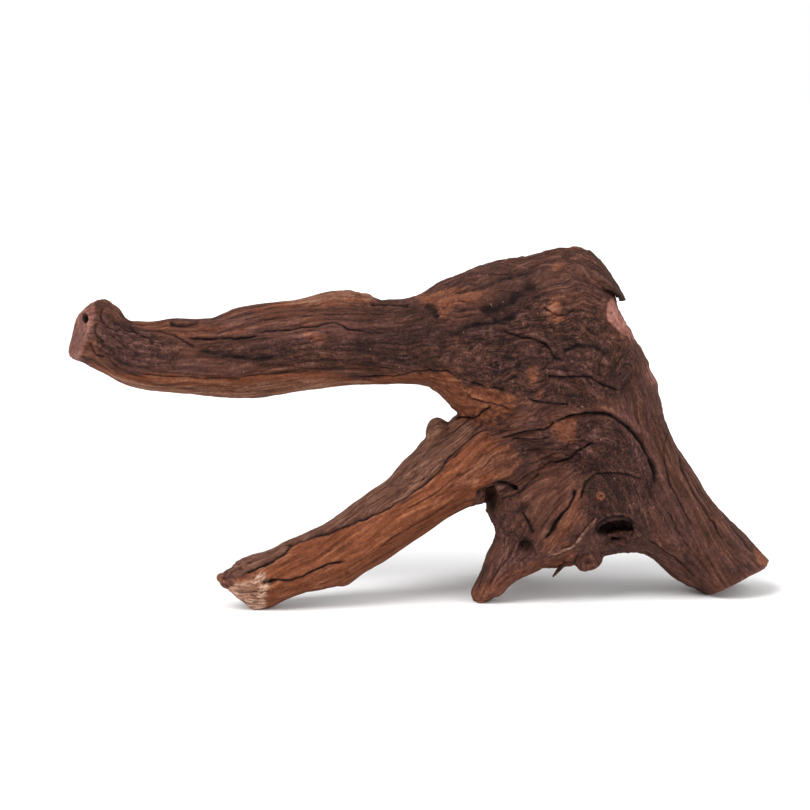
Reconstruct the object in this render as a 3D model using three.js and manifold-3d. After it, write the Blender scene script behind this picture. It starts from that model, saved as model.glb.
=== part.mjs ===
// River root driftwood: one natural piece of root wood with the crust, knots and
// splinters that are still on it.
//
// Millimetres, +Z up. The origin is on the resting surface, in the middle of the
// footprint box. X runs along the longest side, from the hooked end of the upper
// limb (-X) to the right foot (+X). -Y is the front.

import * as THREE from 'three';
import { mergeVertices } from 'three/addons/utils/BufferGeometryUtils.js';
import Module from 'manifold-3d';

const wasm = await Module();
wasm.setup();

// ---------------------------------------------------------------- dimensions

const gap = 0.3;                // air between pieces that touch
const barkThickness = 1.3;      // crust plates
const flapThickness = 2.4;      // the lifted flake at the crown
const around = 20;              // facets around a limb
const ringsPerStation = 2;      // rings between two stations of a limb
const far = 400;                // longer than the whole root
const boreDiameter = 2.4;       // worm bore in the hooked end
const boreDepth = 9;
const pinKnotDiameter = 5;
const pinKnotLength = 9;

// Each limb is a list of stations: [topX, topZ, lowX, lowZ, y, halfDepth].
// The two points are the upper and lower edge of the limb seen from the front.

const upperLimb = [
  [-172, 139, -183, 121.5, -11, 11],
  [-164, 148, -171, 123.4, -10, 13.5],
  [-156, 151.4, -162.7, 118.4, -9, 15],
  [-149.4, 146.6, -154.7, 114.2, -8, 16],
  [-145.5, 140.8, -146, 109.6, -7, 17],
  [-137, 139.4, -136, 106.4, -5, 18],
  [-122.5, 140.6, -122, 104.2, -2, 18.5],
  [-104.5, 141.2, -104, 102.4, 1, 19],
  [-93, 145.4, -90, 101.2, 2, 20],
  [-79.5, 148, -79, 101.6, 3, 20.5],
  [-62.5, 149.8, -63, 104.6, 3, 21],
  [-48.5, 153, -46.5, 107, 3, 21.5],
  [-36, 154.2, -31.5, 108.5, 3, 22.5],
  [-21, 150.8, -18, 108.3, 2, 24],
  [-9, 150.4, -6, 108.6, 1, 26],
  [4.5, 154, 5, 107, 0, 29],
  [17, 161, 15.4, 98.6, -1, 33],
  [37, 168.8, 29, 85, -2, 37],
  [58, 173, 55, 67, -2, 39],
  [77, 176.6, 85, 67, -2, 38],
  [87.5, 169.5, 104, 85, -1, 33],
  [93, 159.5, 110, 105, 0, 25],
  [95, 147.5, 110, 115, 0, 14],
];

const rightLeg = [
  [91, 157, 55, 140, -2, 26],
  [96.5, 143, 58, 116, -2, 32],
  [108.5, 126, 62, 92, -1, 35],
  [116.4, 109.8, 70, 69, 0, 34],
  [119.7, 94.5, 80, 49, 2, 32],
  [126, 77.5, 90, 34, 4, 30],
  [134, 65.2, 98, 23, 6, 28],
  [141.4, 54, 110, 22.5, 8, 26],
  [149.5, 44.5, 118.5, 17.6, 10, 25],
  [161, 32.6, 128.5, 8, 12, 24],
  [168.8, 24.4, 140, 1.6, 13, 24],
  [181.5, 11, 152, -6.6, 13, 23],
];

const leftFoot = [
  [48, 78, 90, 82, 4, 18],
  [40, 66, 86, 72, 0, 25],
  [34, 56, 83, 58, -3, 29],
  [33.4, 45, 80, 42, -4, 27],
  [37.6, 36.3, 76, 24.6, -6, 23],
  [37.2, 31.4, 66, 19.4, -7, 19],
  [34, 23.7, 56, 15.2, -8, 16],
  [30.8, 15.7, 48, 11.4, -9, 13],
  [26.6, 8, 42.4, 6.7, -10, 11],
  [25.2, 3.8, 36.6, 3, -10, 9],
  [27.2, -0.8, 33, -0.8, -10, 6.5],
];

const rearHeel = [
  [48, 92, 90, 92, 2, 20],
  [42, 74, 86, 74, 8, 24],
  [39, 48, 76, 46, 22, 20],
  [41, 30, 64, 28, 36, 14],
  [36, 14, 53, 13, 45, 10],
  [33, 4, 46, 4, 49, 8],
  [34, -1.2, 44, -1.2, 50, 7],
];

const lowerLimb = [
  [-101, 17, -98.6, 12.8, -31, 3],
  [-96, 17.8, -93.4, 9.8, -30, 7],
  [-91, 22.2, -88, 4.6, -28, 10],
  [-84, 25, -80.6, -1, -26, 10.5],
  [-74, 27.6, -67, 4.6, -26, 14],
  [-64, 31.8, -55.5, 8.6, -24, 15.5],
  [-52, 37, -41, 10.6, -21, 17],
  [-43, 42, -30, 15.6, -19, 18],
  [-33.5, 48.4, -19, 21.2, -16, 19],
  [-24, 55.6, -9, 27.9, -14, 20.5],
  [-14, 62.8, 1, 34.2, -11, 22],
  [-4.5, 72.6, 12, 42, -9, 24],
  [3.6, 82, 24.5, 48, -6, 27],
  [14, 89.4, 42, 51.2, -4, 29],
  [34, 102, 62, 56, -1, 29],
  [54, 106, 80, 66, 3, 24],
  [74, 104, 94, 78, 6, 16],
];

const belly = [
  [44, 58, 50, 24, -2, 20],
  [58, 78, 62, 16, -2, 26],
  [72, 88, 74, 17.3, -1, 29],
  [86, 90, 87, 20.3, 0, 30],
  [100, 86, 98, 23.6, 2, 31],
  [112, 76, 110, 23.6, 4, 30],
  [126, 56, 121, 17.5, 6, 27],
  [138, 42, 131, 8, 8, 20],
];

// Rounded lumps that are joined on, and hollows that are cut in:
// { at: [x, y, z], radii: [x, y, z] }

const lumps = [
  { at: [8.8, -8, 84], radii: [5.8, 12, 8] },       // stub in the crotch
  { at: [83.6, -8, 22.6], radii: [7.4, 11, 6.4] },    // curled root end under the belly
];

const hollows = [
  { at: [98, -27, 38.5], radii: [9.5, 17, 6.5] },   // arched cave in the belly
  { at: [95, -27, 31], radii: [6, 9, 2.2] },        // slit below the cave
  { at: [52.3, -28, 31], radii: [4.5, 5, 3.8] },    // pit in the left foot
  { at: [35, -26, 55], radii: [4.2, 15, 7.5] },     // hole in the crotch of the foot
];

// Flat faces: everything on the far side of the plane is cut away.

const hookEnd = { at: [-168.6, -10, 135], facing: [-0.93, -0.34, 0.14] };
const footEnd = { at: [161.5, 13, 7.8], facing: [0.49, -0.12, -0.87] };
const restingFace = { at: [0, 0, 0], facing: [0, 0, -1] };

const boreAt = [-170.5, -10, 141.5];
const pinKnotAt = [89.5, -24, 57];

// Front outlines of the crust plates, as [x, z] points.

const hookBark = [
  [-162, 141], [-152, 138], [-138, 135], [-122, 133], [-116, 128],
  [-124, 121], [-140, 118], [-152, 121], [-160, 129],
];
const upperLimbBark = [
  [-111, 130], [-90, 133], [-62, 131], [-45, 134], [-28, 130], [-12, 132],
  [-7, 124], [-20, 118], [-45, 117], [-70, 119], [-95, 121], [-108, 124],
];
const crownBark = [
  [12, 146], [30, 141], [46, 151], [60, 166], [74, 170], [81, 160], [93, 147],
  [99, 132], [104, 118], [88, 112], [68, 116], [50, 112], [30, 110], [20, 120],
];
const crownTopBark = [
  [0, 153.5], [14, 157], [30, 164], [52, 170], [56, 190], [-6, 190],
];
const bellyBark = [
  [80, 90], [95, 95], [107, 89], [113, 76], [115, 62], [112, 50],
  [98, 49], [86, 50], [80, 60], [77, 74],
];
const rightLegBark = [
  [113, 108], [121, 94], [129, 76], [141, 57], [153, 40], [147, 31],
  [135, 38], [124, 54], [119, 72], [112, 92],
];
const lowerLimbBark = [
  [-92, 17.5], [-81, 19], [-69, 25], [-62, 32], [-43, 39], [-28, 45], [-9, 54.5],
  [1, 61], [9, 68], [14, 75], [21, 83], [3, 83.5], [-16, 70], [-40, 56], [-70, 40], [-92, 30],
];
const rearBark = [
  [18, 118], [34, 150], [62, 160], [88, 150], [98, 122], [92, 96], [66, 88], [36, 98],
];
const flapOutline = [
  [78, 192], [104, 180], [106, 153], [96.5, 153.5], [90, 158], [83, 168],
];

// Stations of the two thin loose strands.

const splinter = [
  [66.3, 13.8, 67.4, 13, -14, 0.5],
  [67.8, 17, 70, 15.3, -14, 1.1],
  [70, 19.8, 72.4, 17.8, -13, 1.4],
  [71.8, 20.7, 73.8, 19, -12.4, 1.2],
];
const rootlet = [
  [62, 24.6, 62.5, 22.8, -28.5, 0.7],
  [70, 28, 70.8, 25.6, -31, 1.1],
  [78, 31, 79.2, 28.6, -32.6, 1.3],
  [82.4, 36, 84.8, 34.6, -33.2, 1.3],
  [86, 41.4, 87.6, 39.8, -32.6, 1.1],
  [88.6, 44.6, 89.6, 43.4, -31.6, 0.7],
];

// ------------------------------------------------------------ solid helpers

// A closed three.js geometry as a manifold solid, and back.
function toSolid(geometry) {
  const bare = geometry.clone();
  bare.deleteAttribute('normal');
  bare.deleteAttribute('uv');
  const merged = mergeVertices(bare, 1e-4);
  return new wasm.Manifold(new wasm.Mesh({
    numProp: 3,
    vertProperties: new Float32Array(merged.attributes.position.array),
    triVerts: new Uint32Array(merged.index.array),
  }));
}

function toGeometry(solid) {
  const { vertProperties, triVerts } = solid.getMesh();
  const geometry = new THREE.BufferGeometry();
  geometry.setAttribute('position', new THREE.BufferAttribute(vertProperties, 3));
  geometry.setIndex(new THREE.BufferAttribute(triVerts, 1));
  geometry.computeVertexNormals();
  return geometry;
}

// The biggest of the separate bodies that a cut leaves.
function biggestBody(solid) {
  const bodies = solid.decompose();
  return bodies.reduce((best, body) => (body.volume() > best.volume() ? body : best));
}

// A smooth run through one set of points of the stations.
function throughStations(stations, pick) {
  return new THREE.CatmullRomCurve3(stations.map((station) => new THREE.Vector3(...pick(station))));
}

// A limb: the rings of a sphere laid out along the stations, `grow` mm fatter than drawn.
function limb(stations, grow = 0, sides = around) {
  const rings = (stations.length - 1) * ringsPerStation;
  const tops = throughStations(stations, ([x, z, , , y]) => [x, y, z]);
  const lows = throughStations(stations, ([, , x, z, y]) => [x, y, z]);
  const depths = throughStations(stations, ([x, z, , , , depth]) => [x, z, depth]);
  const geometry = new THREE.SphereGeometry(1, sides, rings + 2);
  const { position, uv } = geometry.attributes;
  for (let i = 0; i < position.count; i++) {
    const ring = Math.round((1 - uv.getY(i)) * (rings + 2));
    const isPole = ring === 0 || ring === rings + 2;
    const t = THREE.MathUtils.clamp((ring - 1) / rings, 0, 1);
    const angle = (i % (sides + 1)) / sides * 2 * Math.PI;
    const top = tops.getPoint(t);
    const low = lows.getPoint(t);
    const point = top.clone().add(low).multiplyScalar(0.5);
    if (!isPole) {
      const half = top.sub(low).multiplyScalar(0.5);
      half.setLength(half.length() + grow).multiplyScalar(Math.sin(angle));
      point.add(half);
      point.y += (depths.getPoint(t).z + grow) * Math.cos(angle);
    }
    position.setXYZ(i, point.x, point.y, point.z);
  }
  const solid = toSolid(geometry);
  if (solid.volume() > 0) return solid;
  geometry.index.array.reverse();
  return toSolid(geometry);
}

function ellipsoid({ at, radii }, grow = 0) {
  const geometry = new THREE.SphereGeometry(1, 16, 12);
  geometry.scale(...radii.map((radius) => radius + grow));
  geometry.translate(...at);
  return toSolid(geometry);
}

// A half space as a big box whose near face lies on the plane.
function beyond({ at, facing }, shift = 0) {
  const geometry = new THREE.BoxGeometry(far, far, far);
  geometry.translate(0, 0, far / 2 + shift);
  const normal = new THREE.Vector3(...facing).normalize();
  geometry.applyQuaternion(new THREE.Quaternion().setFromUnitVectors(new THREE.Vector3(0, 0, 1), normal));
  geometry.translate(...at);
  return toSolid(geometry);
}

// A round peg from `at` into the wood, along `inward`.
function peg(at, inward, diameter, length) {
  const geometry = new THREE.CylinderGeometry(diameter / 2, diameter / 2, length, 16);
  geometry.translate(0, length / 2, 0);
  const direction = new THREE.Vector3(...inward).normalize();
  geometry.applyQuaternion(new THREE.Quaternion().setFromUnitVectors(new THREE.Vector3(0, 1, 0), direction));
  geometry.translate(...at);
  return toSolid(geometry);
}

// The space behind a front outline, between two depths.
function prism(outline, yFront, yBack) {
  const shape = new THREE.Shape(outline.map(([x, z]) => new THREE.Vector2(x, z)));
  const geometry = new THREE.ExtrudeGeometry(shape, { depth: yBack - yFront, bevelEnabled: false });
  geometry.rotateX(Math.PI / 2);
  geometry.translate(0, yBack, 0);
  return toSolid(geometry);
}

// ------------------------------------------------------------------ the wood

// The whole root with its hollows, `grow` mm fatter than the wood itself.
function root(grow = 0) {
  const limbs = [upperLimb, rightLeg, leftFoot, rearHeel, lowerLimb, belly];
  const solids = [
    ...limbs.map((stations) => limb(stations, grow)),
    ...lumps.map((lump) => ellipsoid(lump, grow)),
  ];
  const cuts = [
    ...hollows.map((hollow) => ellipsoid(hollow, -grow)),
    beyond(hookEnd, grow),
    beyond(footEnd, grow),
    beyond(restingFace),
  ];
  const joined = solids.reduce((sum, solid) => sum.add(solid));
  return biggestBody(cuts.reduce((left, cut) => left.subtract(cut), joined));
}

const wood = root();
const clearOfWood = root(gap);
const barkOutside = root(gap + barkThickness);
const flapOutside = root(gap + flapThickness);

// A crust plate: the layer just outside the wood, behind a front outline.
function barkPlate(outline, yFront, yBack, outside = barkOutside) {
  return biggestBody(outside.intersect(prism(outline, yFront, yBack)).subtract(clearOfWood));
}

const flap = barkPlate(flapOutline, -26, 22, flapOutside);

const pinKnotSocket = peg([pinKnotAt[0], pinKnotAt[1] - 12, pinKnotAt[2]], [0, 1, 0],
  pinKnotDiameter + 2 * gap, pinKnotLength + 12 + gap);
const pinKnot = peg([pinKnotAt[0], pinKnotAt[1] - 12, pinKnotAt[2]], [0, 1, 0],
  pinKnotDiameter, pinKnotLength + 12).intersect(barkOutside);

const inward = hookEnd.facing.map((value) => -value);
const bore = peg(boreAt, inward, boreDiameter, boreDepth);

// Each strand keeps the gap from the wood that it lies on.
const strand = (stations) => biggestBody(limb(stations, 0, 10).subtract(clearOfWood));

// ---------------------------------------------------------------- the pieces

const finishes = {
  wood: { color: 0x6b4231, roughness: 0.85 },
  crust: { color: 0x3b2a26, roughness: 0.95 },
  greyStrip: { color: 0x5f4338, roughness: 0.9 },
  knot: { color: 0xa0552e, roughness: 0.8 },
  strand: { color: 0x8a6448, roughness: 0.85 },
};

const pieces = {
  root_wood: [wood.subtract(pinKnotSocket).subtract(bore), 'wood'],
  hook_bark: [barkPlate(hookBark, -60, -12), 'crust'],
  upper_limb_bark: [barkPlate(upperLimbBark, -60, -4), 'crust'],
  crown_top_bark: [barkPlate(crownTopBark, -22, 26), 'crust'],
  crown_bark: [barkPlate(crownBark, -60, -6), 'crust'],
  belly_bark: [barkPlate(bellyBark, -60, -8).subtract(pinKnotSocket), 'crust'],
  right_leg_bark: [barkPlate(rightLegBark, -60, 4), 'crust'],
  lower_limb_bark: [barkPlate(lowerLimbBark, -60, 2), 'greyStrip'],
  rear_bark: [barkPlate(rearBark, 8, 60), 'crust'],
  crown_flap: [flap, 'crust'],
  pin_knot: [pinKnot, 'knot'],
  belly_splinter: [strand(splinter), 'strand'],
  hollow_rootlet: [strand(rootlet), 'strand'],
};

const driftwood = new THREE.Group();
for (const [name, [solid, finish]] of Object.entries(pieces)) {
  const material = new THREE.MeshStandardMaterial({ ...finishes[finish], metalness: 0 });
  const piece = new THREE.Mesh(toGeometry(solid), material);
  piece.name = name;
  driftwood.add(piece);
}

// The middle of the footprint box goes to the origin.
const footprint = new THREE.Box3().setFromObject(driftwood);
const middle = footprint.getCenter(new THREE.Vector3());
driftwood.position.set(-middle.x, -middle.y, 0);

export default driftwood;
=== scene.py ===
"""River root driftwood: the looks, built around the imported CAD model."""

import math

import bmesh
import bpy
import numpy as np
from bpy.props import FloatProperty, FloatVectorProperty, PointerProperty
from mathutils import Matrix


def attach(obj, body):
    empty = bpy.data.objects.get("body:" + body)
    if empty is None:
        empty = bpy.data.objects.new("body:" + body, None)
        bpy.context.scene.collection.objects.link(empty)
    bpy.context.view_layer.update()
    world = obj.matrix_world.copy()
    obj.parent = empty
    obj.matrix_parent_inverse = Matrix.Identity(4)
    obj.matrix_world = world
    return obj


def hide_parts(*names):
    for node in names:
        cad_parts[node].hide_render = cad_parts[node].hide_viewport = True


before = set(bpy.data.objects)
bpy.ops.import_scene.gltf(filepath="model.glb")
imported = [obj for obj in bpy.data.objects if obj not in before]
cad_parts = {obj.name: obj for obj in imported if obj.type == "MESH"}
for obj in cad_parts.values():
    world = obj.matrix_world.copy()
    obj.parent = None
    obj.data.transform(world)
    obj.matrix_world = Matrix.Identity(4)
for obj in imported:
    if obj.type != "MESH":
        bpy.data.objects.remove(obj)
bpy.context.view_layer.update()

bl_info = {
    "name": "River root driftwood",
    "version": (1, 0, 0),
    "blender": (4, 5, 0),
    "location": "View3D > Sidebar > Driftwood",
    "description": "Makes a weathered river root with its crust, knots, cracks and fibres",
    "category": "Add Mesh",
}

MM = 0.001
BODY = "root"

# The front drawing. Marks on the front of the wood are drawn on a sheet that leans
# back by SHEET_LEAN and are thrown onto the wood from the eye, SHEET_DISTANCE away.
# A point on the sheet is (across, up) in millimetres, and SHEET_CENTRE on the sheet
# lies at SHEET_AT in the part's frame.
SHEET_LEAN = math.radians(8)
SHEET_DISTANCE = 1400.0
SHEET_CENTRE = (-7.5, 101.0)
SHEET_AT = np.array((-9.04, -7.19, 98.1))
SHEET_RIGHT = np.array((1.0, 0.0, 0.0))
SHEET_UP = np.array((0.0, math.sin(SHEET_LEAN), math.cos(SHEET_LEAN)))
SHEET_AWAY = np.array((0.0, math.cos(SHEET_LEAN), -math.sin(SHEET_LEAN)))
EYE_SHIFT = np.array((-0.2, 0.0, -0.3))     # how far the camera stands from the eye


# ------------------------------------------------------------------------- noise


def _shuffled(seed):
    table = np.random.default_rng(seed).permutation(256)
    return np.concatenate([table, table, table]).astype(np.int32)


def _directions(seed):
    ways = np.random.default_rng(seed).normal(size=(256, 3))
    return (ways / np.linalg.norm(ways, axis=1)[:, None]).astype(np.float32)


_TABLE = _shuffled(7)
_WAYS = _directions(11)


def noise(points, size, seed=0):
    """Smooth gradient noise in about -1..1. size is the wavelength, one number or three."""
    p = (np.asarray(points, np.float32) / np.asarray(size, np.float32)) + np.float32(seed * 17.31)
    cell = np.floor(p).astype(np.int32)
    f = p - cell
    cell &= 255
    ease = f * f * f * (f * (f * 6 - 15) + 10)
    total = np.zeros(len(p), np.float32)
    for dx in (0, 1):
        wx = ease[:, 0] if dx else 1 - ease[:, 0]
        hx = _TABLE[cell[:, 0] + dx]
        for dy in (0, 1):
            wy = wx * (ease[:, 1] if dy else 1 - ease[:, 1])
            hy = _TABLE[hx + cell[:, 1] + dy]
            for dz in (0, 1):
                way = _WAYS[_TABLE[hy + cell[:, 2] + dz]]
                dot = (
                    way[:, 0] * (f[:, 0] - dx)
                    + way[:, 1] * (f[:, 1] - dy)
                    + way[:, 2] * (f[:, 2] - dz)
                )
                total += wy * (ease[:, 2] if dz else 1 - ease[:, 2]) * dot
    return total * 1.6


def layered(points, size, octaves=3, seed=0, fall=0.5, folded=False):
    """Several octaves of noise. Folded noise has round tops and sharp valleys."""
    size = np.asarray(size, np.float32)
    total, weight, amount = 0, 0, 1.0
    for k in range(octaves):
        layer = noise(points, size / 2**k, seed + k)
        if folded:
            layer = 2 * np.abs(layer) - 0.56
        total = total + amount * layer
        weight += amount
        amount *= fall
    return total / weight


def step(low, high, x):
    """0 below low, 1 above high, and a smooth rise between."""
    t = np.clip((x - low) / (high - low), 0, 1)
    return t * t * (3 - 2 * t)


def bump(x, width):
    return np.exp(-((x / width) ** 2))


# ----------------------------------------------------------------- drawing helpers


def on_sheet(points):
    """Where the wood's points lie on the front drawing, in millimetres."""
    d = points - SHEET_AT
    nearer = SHEET_DISTANCE / (SHEET_DISTANCE + d @ SHEET_AWAY)
    return SHEET_CENTRE[0] + (d @ SHEET_RIGHT) * nearer, SHEET_CENTRE[1] + (d @ SHEET_UP) * nearer


def smooth_run(points, per=8):
    """A Catmull-Rom run through the points, as an array."""
    p = np.asarray(points, float)
    p = np.vstack([2 * p[0] - p[1], p, 2 * p[-1] - p[-2]])
    out = []
    for a, b, c, d in zip(p, p[1:], p[2:], p[3:]):
        for t in np.arange(per) / per:
            out.append(
                0.5 * ((2 * b) + (c - a) * t + (2 * a - 5 * b + 4 * c - d) * t * t
                       + (3 * b - a - 3 * c + d) * t**3)
            )
    out.append(p[-2])
    return np.array(out)


def to_line(u, v, points, reach):
    """Distance to a drawn line, which side of it, and how far along it, for points within reach."""
    run = smooth_run(points, 4)
    low, high = run.min(0) - reach, run.max(0) + reach
    near = np.flatnonzero((u > low[0]) & (u < high[0]) & (v > low[1]) & (v < high[1]))
    best = np.full(len(near), 1e9)
    side = np.zeros(len(near))
    along = np.zeros(len(near))
    un, vn = u[near], v[near]
    lengths = np.linalg.norm(np.diff(run, axis=0), axis=1)
    starts = np.concatenate([[0], np.cumsum(lengths)])
    for k, (a, b) in enumerate(zip(run, run[1:])):
        ab = b - a
        t = np.clip(((un - a[0]) * ab[0] + (vn - a[1]) * ab[1]) / max(ab @ ab, 1e-9), 0, 1)
        du, dv = un - (a[0] + t * ab[0]), vn - (a[1] + t * ab[1])
        d = np.hypot(du, dv)
        closer = d < best
        best[closer] = d[closer]
        side[closer] = np.sign(ab[0] * dv - ab[1] * du)[closer]
        along[closer] = ((starts[k] + t * lengths[k]) / starts[-1])[closer]
    return near, best, side, along


def inside(u, v, outline):
    """How far inside a drawn outline each point is, in millimetres: negative outside."""
    ring = np.asarray(outline, float)
    crossing = np.zeros(len(u), bool)
    best = np.full(len(u), 1e9)
    for a, b in zip(ring, np.roll(ring, -1, axis=0)):
        ab = b - a
        t = np.clip(((u - a[0]) * ab[0] + (v - a[1]) * ab[1]) / max(ab @ ab, 1e-9), 0, 1)
        best = np.minimum(best, np.hypot(u - (a[0] + t * ab[0]), v - (a[1] + t * ab[1])))
        if a[1] != b[1]:
            spans = (a[1] > v) != (b[1] > v)
            crossing ^= spans & (u < a[0] + (v - a[1]) / (b[1] - a[1]) * ab[0])
    return np.where(crossing, best, -best)


# -------------------------------------------------------------------- mesh helpers


def mesh_arrays(mesh):
    """A mesh's points in millimetres and its quads."""
    points = np.zeros(len(mesh.vertices) * 3, np.float32)
    mesh.vertices.foreach_get("co", points)
    quads = np.zeros(len(mesh.loops), np.int32)
    mesh.loops.foreach_get("vertex_index", quads)
    return points.reshape(-1, 3) / MM, quads.reshape(-1, 4)


def neighbour_table(count, quads, widest=8):
    """The neighbours of each vertex, padded with the vertex itself."""
    pairs = np.vstack([quads[:, [k, (k + 1) % 4]] for k in range(4)])
    pairs = np.vstack([pairs, pairs[:, ::-1]])
    keys = np.unique(pairs[:, 0].astype(np.int64) * count + pairs[:, 1])
    start, end = keys // count, keys % count
    place = np.arange(len(start)) - np.searchsorted(start, start)
    kept = place < widest
    table = np.repeat(np.arange(count)[:, None], widest, axis=1)
    table[start[kept], place[kept]] = end[kept]
    return table, np.minimum(np.bincount(start, minlength=count), widest)


def relax(values, table, number, rounds, amount=0.6):
    """Evens out values over the surface. amount may differ from vertex to vertex."""
    values = values.astype(np.float32)
    flat = values.ndim == 1
    if flat:
        values = values[:, None]
    amount = np.broadcast_to(np.asarray(amount, np.float32), (len(values),))[:, None]
    spare = (table.shape[1] - number)[:, None].astype(np.float32)
    scale = 1 / number[:, None].astype(np.float32)
    for _ in range(rounds):
        total = values[table[:, 0]]
        for k in range(1, table.shape[1]):
            total = total + values[table[:, k]]
        values = values + amount * ((total - spare * values) * scale - values)
    return values[:, 0] if flat else values


def vertex_normals(points, quads):
    a, b, c, d = (points[quads[:, k]] for k in range(4))
    face = np.cross(c - a, d - b)
    normals = np.zeros_like(points)
    for axis in range(3):
        normals[:, axis] = np.bincount(
            quads.ravel(), np.repeat(face[:, axis], 4), minlength=len(points)
        )
    return normals / np.maximum(np.linalg.norm(normals, axis=1), 1e-9)[:, None]


def new_mesh(name, points, faces, fields=None):
    """A smooth-shaded mesh object from millimetre points and quads, with named fields on its points."""
    mesh = bpy.data.meshes.new(name)
    sides = faces.shape[1]
    mesh.vertices.add(len(points))
    mesh.vertices.foreach_set("co", (points * MM).astype(np.float32).ravel())
    mesh.loops.add(faces.size)
    mesh.loops.foreach_set("vertex_index", faces.astype(np.int32).ravel())
    mesh.polygons.add(len(faces))
    mesh.polygons.foreach_set("loop_start", np.arange(0, faces.size, sides, dtype=np.int32))
    mesh.polygons.foreach_set("use_smooth", np.ones(len(faces), bool))
    mesh.update(calc_edges=True)
    mesh.validate()
    for label, values in (fields or {}).items():
        layer = mesh.attributes.new(label, "FLOAT", "POINT")
        layer.data.foreach_set("value", np.asarray(values, np.float32))
    piece = bpy.data.objects.new(name, mesh)
    bpy.context.scene.collection.objects.link(piece)
    return piece


# ---------------------------------------------------------------- the grain's runs

# The middle line of each limb, in millimetres in the part's frame, with the limb's
# usual radius. The grain follows these lines.
RUNS = {
    "upper_limb": (24, [(-182, -18, 128), (-163, -17, 134), (-146, -14, 126), (-120, -9, 122),
                        (-90, -5, 124), (-60, -4, 129), (-30, -4, 131), (0, -7, 132),
                        (26, -9, 134), (50, -9, 138), (72, -9, 138), (92, -8, 128),
                        (106, -6, 108), (117, -4, 84), (130, 1, 58), (146, 4, 30), (162, 7, 4)]),
    "lower_limb": (20, [(-104, -38, 14), (-82, -34, 12), (-60, -31, 21), (-35, -26, 35),
                        (-10, -20, 50), (15, -14, 66), (36, -11, 80), (56, -10, 90), (76, -9, 95),
                        (92, -8, 90), (104, -6, 76), (112, -4, 58), (120, 0, 40), (134, 3, 18),
                        (146, 5, 2)]),
    "left_foot": (14, [(28, -17, -4), (34, -17, 8), (44, -15, 22), (54, -12, 38), (64, -10, 54),
                       (76, -9, 66), (90, -9, 68), (98, -8, 58)]),
    "crown": (16, [(-10, -6, 150), (15, -8, 158), (40, -9, 166), (66, -9, 172), (84, -9, 162),
                   (100, -8, 140)]),
    "rear_heel": (14, [(37, 44, -4), (41, 39, 12), (49, 29, 30), (58, 15, 48), (68, 4, 68)]),
}


def along_run(points, run):
    """Each point's place along a run and its two offsets across it, and its distance."""
    line = smooth_run(run, 6).astype(np.float32)
    ahead = np.gradient(line, axis=0)
    ahead /= np.linalg.norm(ahead, axis=1)[:, None]
    across = np.cross(ahead, (0, 1, 0))
    across /= np.linalg.norm(across, axis=1)[:, None]
    aside = np.cross(ahead, across)
    starts = np.concatenate([[0], np.cumsum(np.linalg.norm(np.diff(line, axis=0), axis=1))])
    nearest = np.zeros(len(points), int)
    for k in range(0, len(points), 100000):
        part = points[k:k + 100000]
        nearest[k:k + 100000] = ((line**2).sum(1)[None] - 2 * part @ line.T).argmin(1)
    d = points - line[nearest]
    place = starts[nearest] + (d * ahead[nearest]).sum(1)
    a, b = (d * across[nearest]).sum(1), (d * aside[nearest]).sum(1)
    return np.stack([place, a, b], axis=1).astype(np.float32), np.hypot(a, b)


class Grain:
    """The grain's own coordinates at each point of the wood, shared out between the limbs."""

    def __init__(self, points, wander):
        shares, self.runs = [], []
        for radius, run in RUNS.values():
            place, distance = along_run(points, run)
            shares.append(np.exp(-7 * distance / radius))
            self.runs.append(place + wander)
        shares = np.array(shares) + 1e-12
        self.shares = shares / shares.sum(0)
        self.main = np.choose(self.shares.argmax(0)[:, None], self.runs)

    def streaks(self, size, octaves=1, seed=0, folded=False):
        """Noise drawn out along the grain. size is (along, across, across)."""
        total = np.zeros(self.shares.shape[1], np.float32)
        for k, (share, place) in enumerate(zip(self.shares, self.runs)):
            held = np.flatnonzero(share > 0.02)
            layers = layered(place[held], size, octaves, seed + 5 * k, folded=folded)
            total[held] += share[held] * layers
        return total


# ------------------------------------------------------- marks drawn on the front

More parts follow.
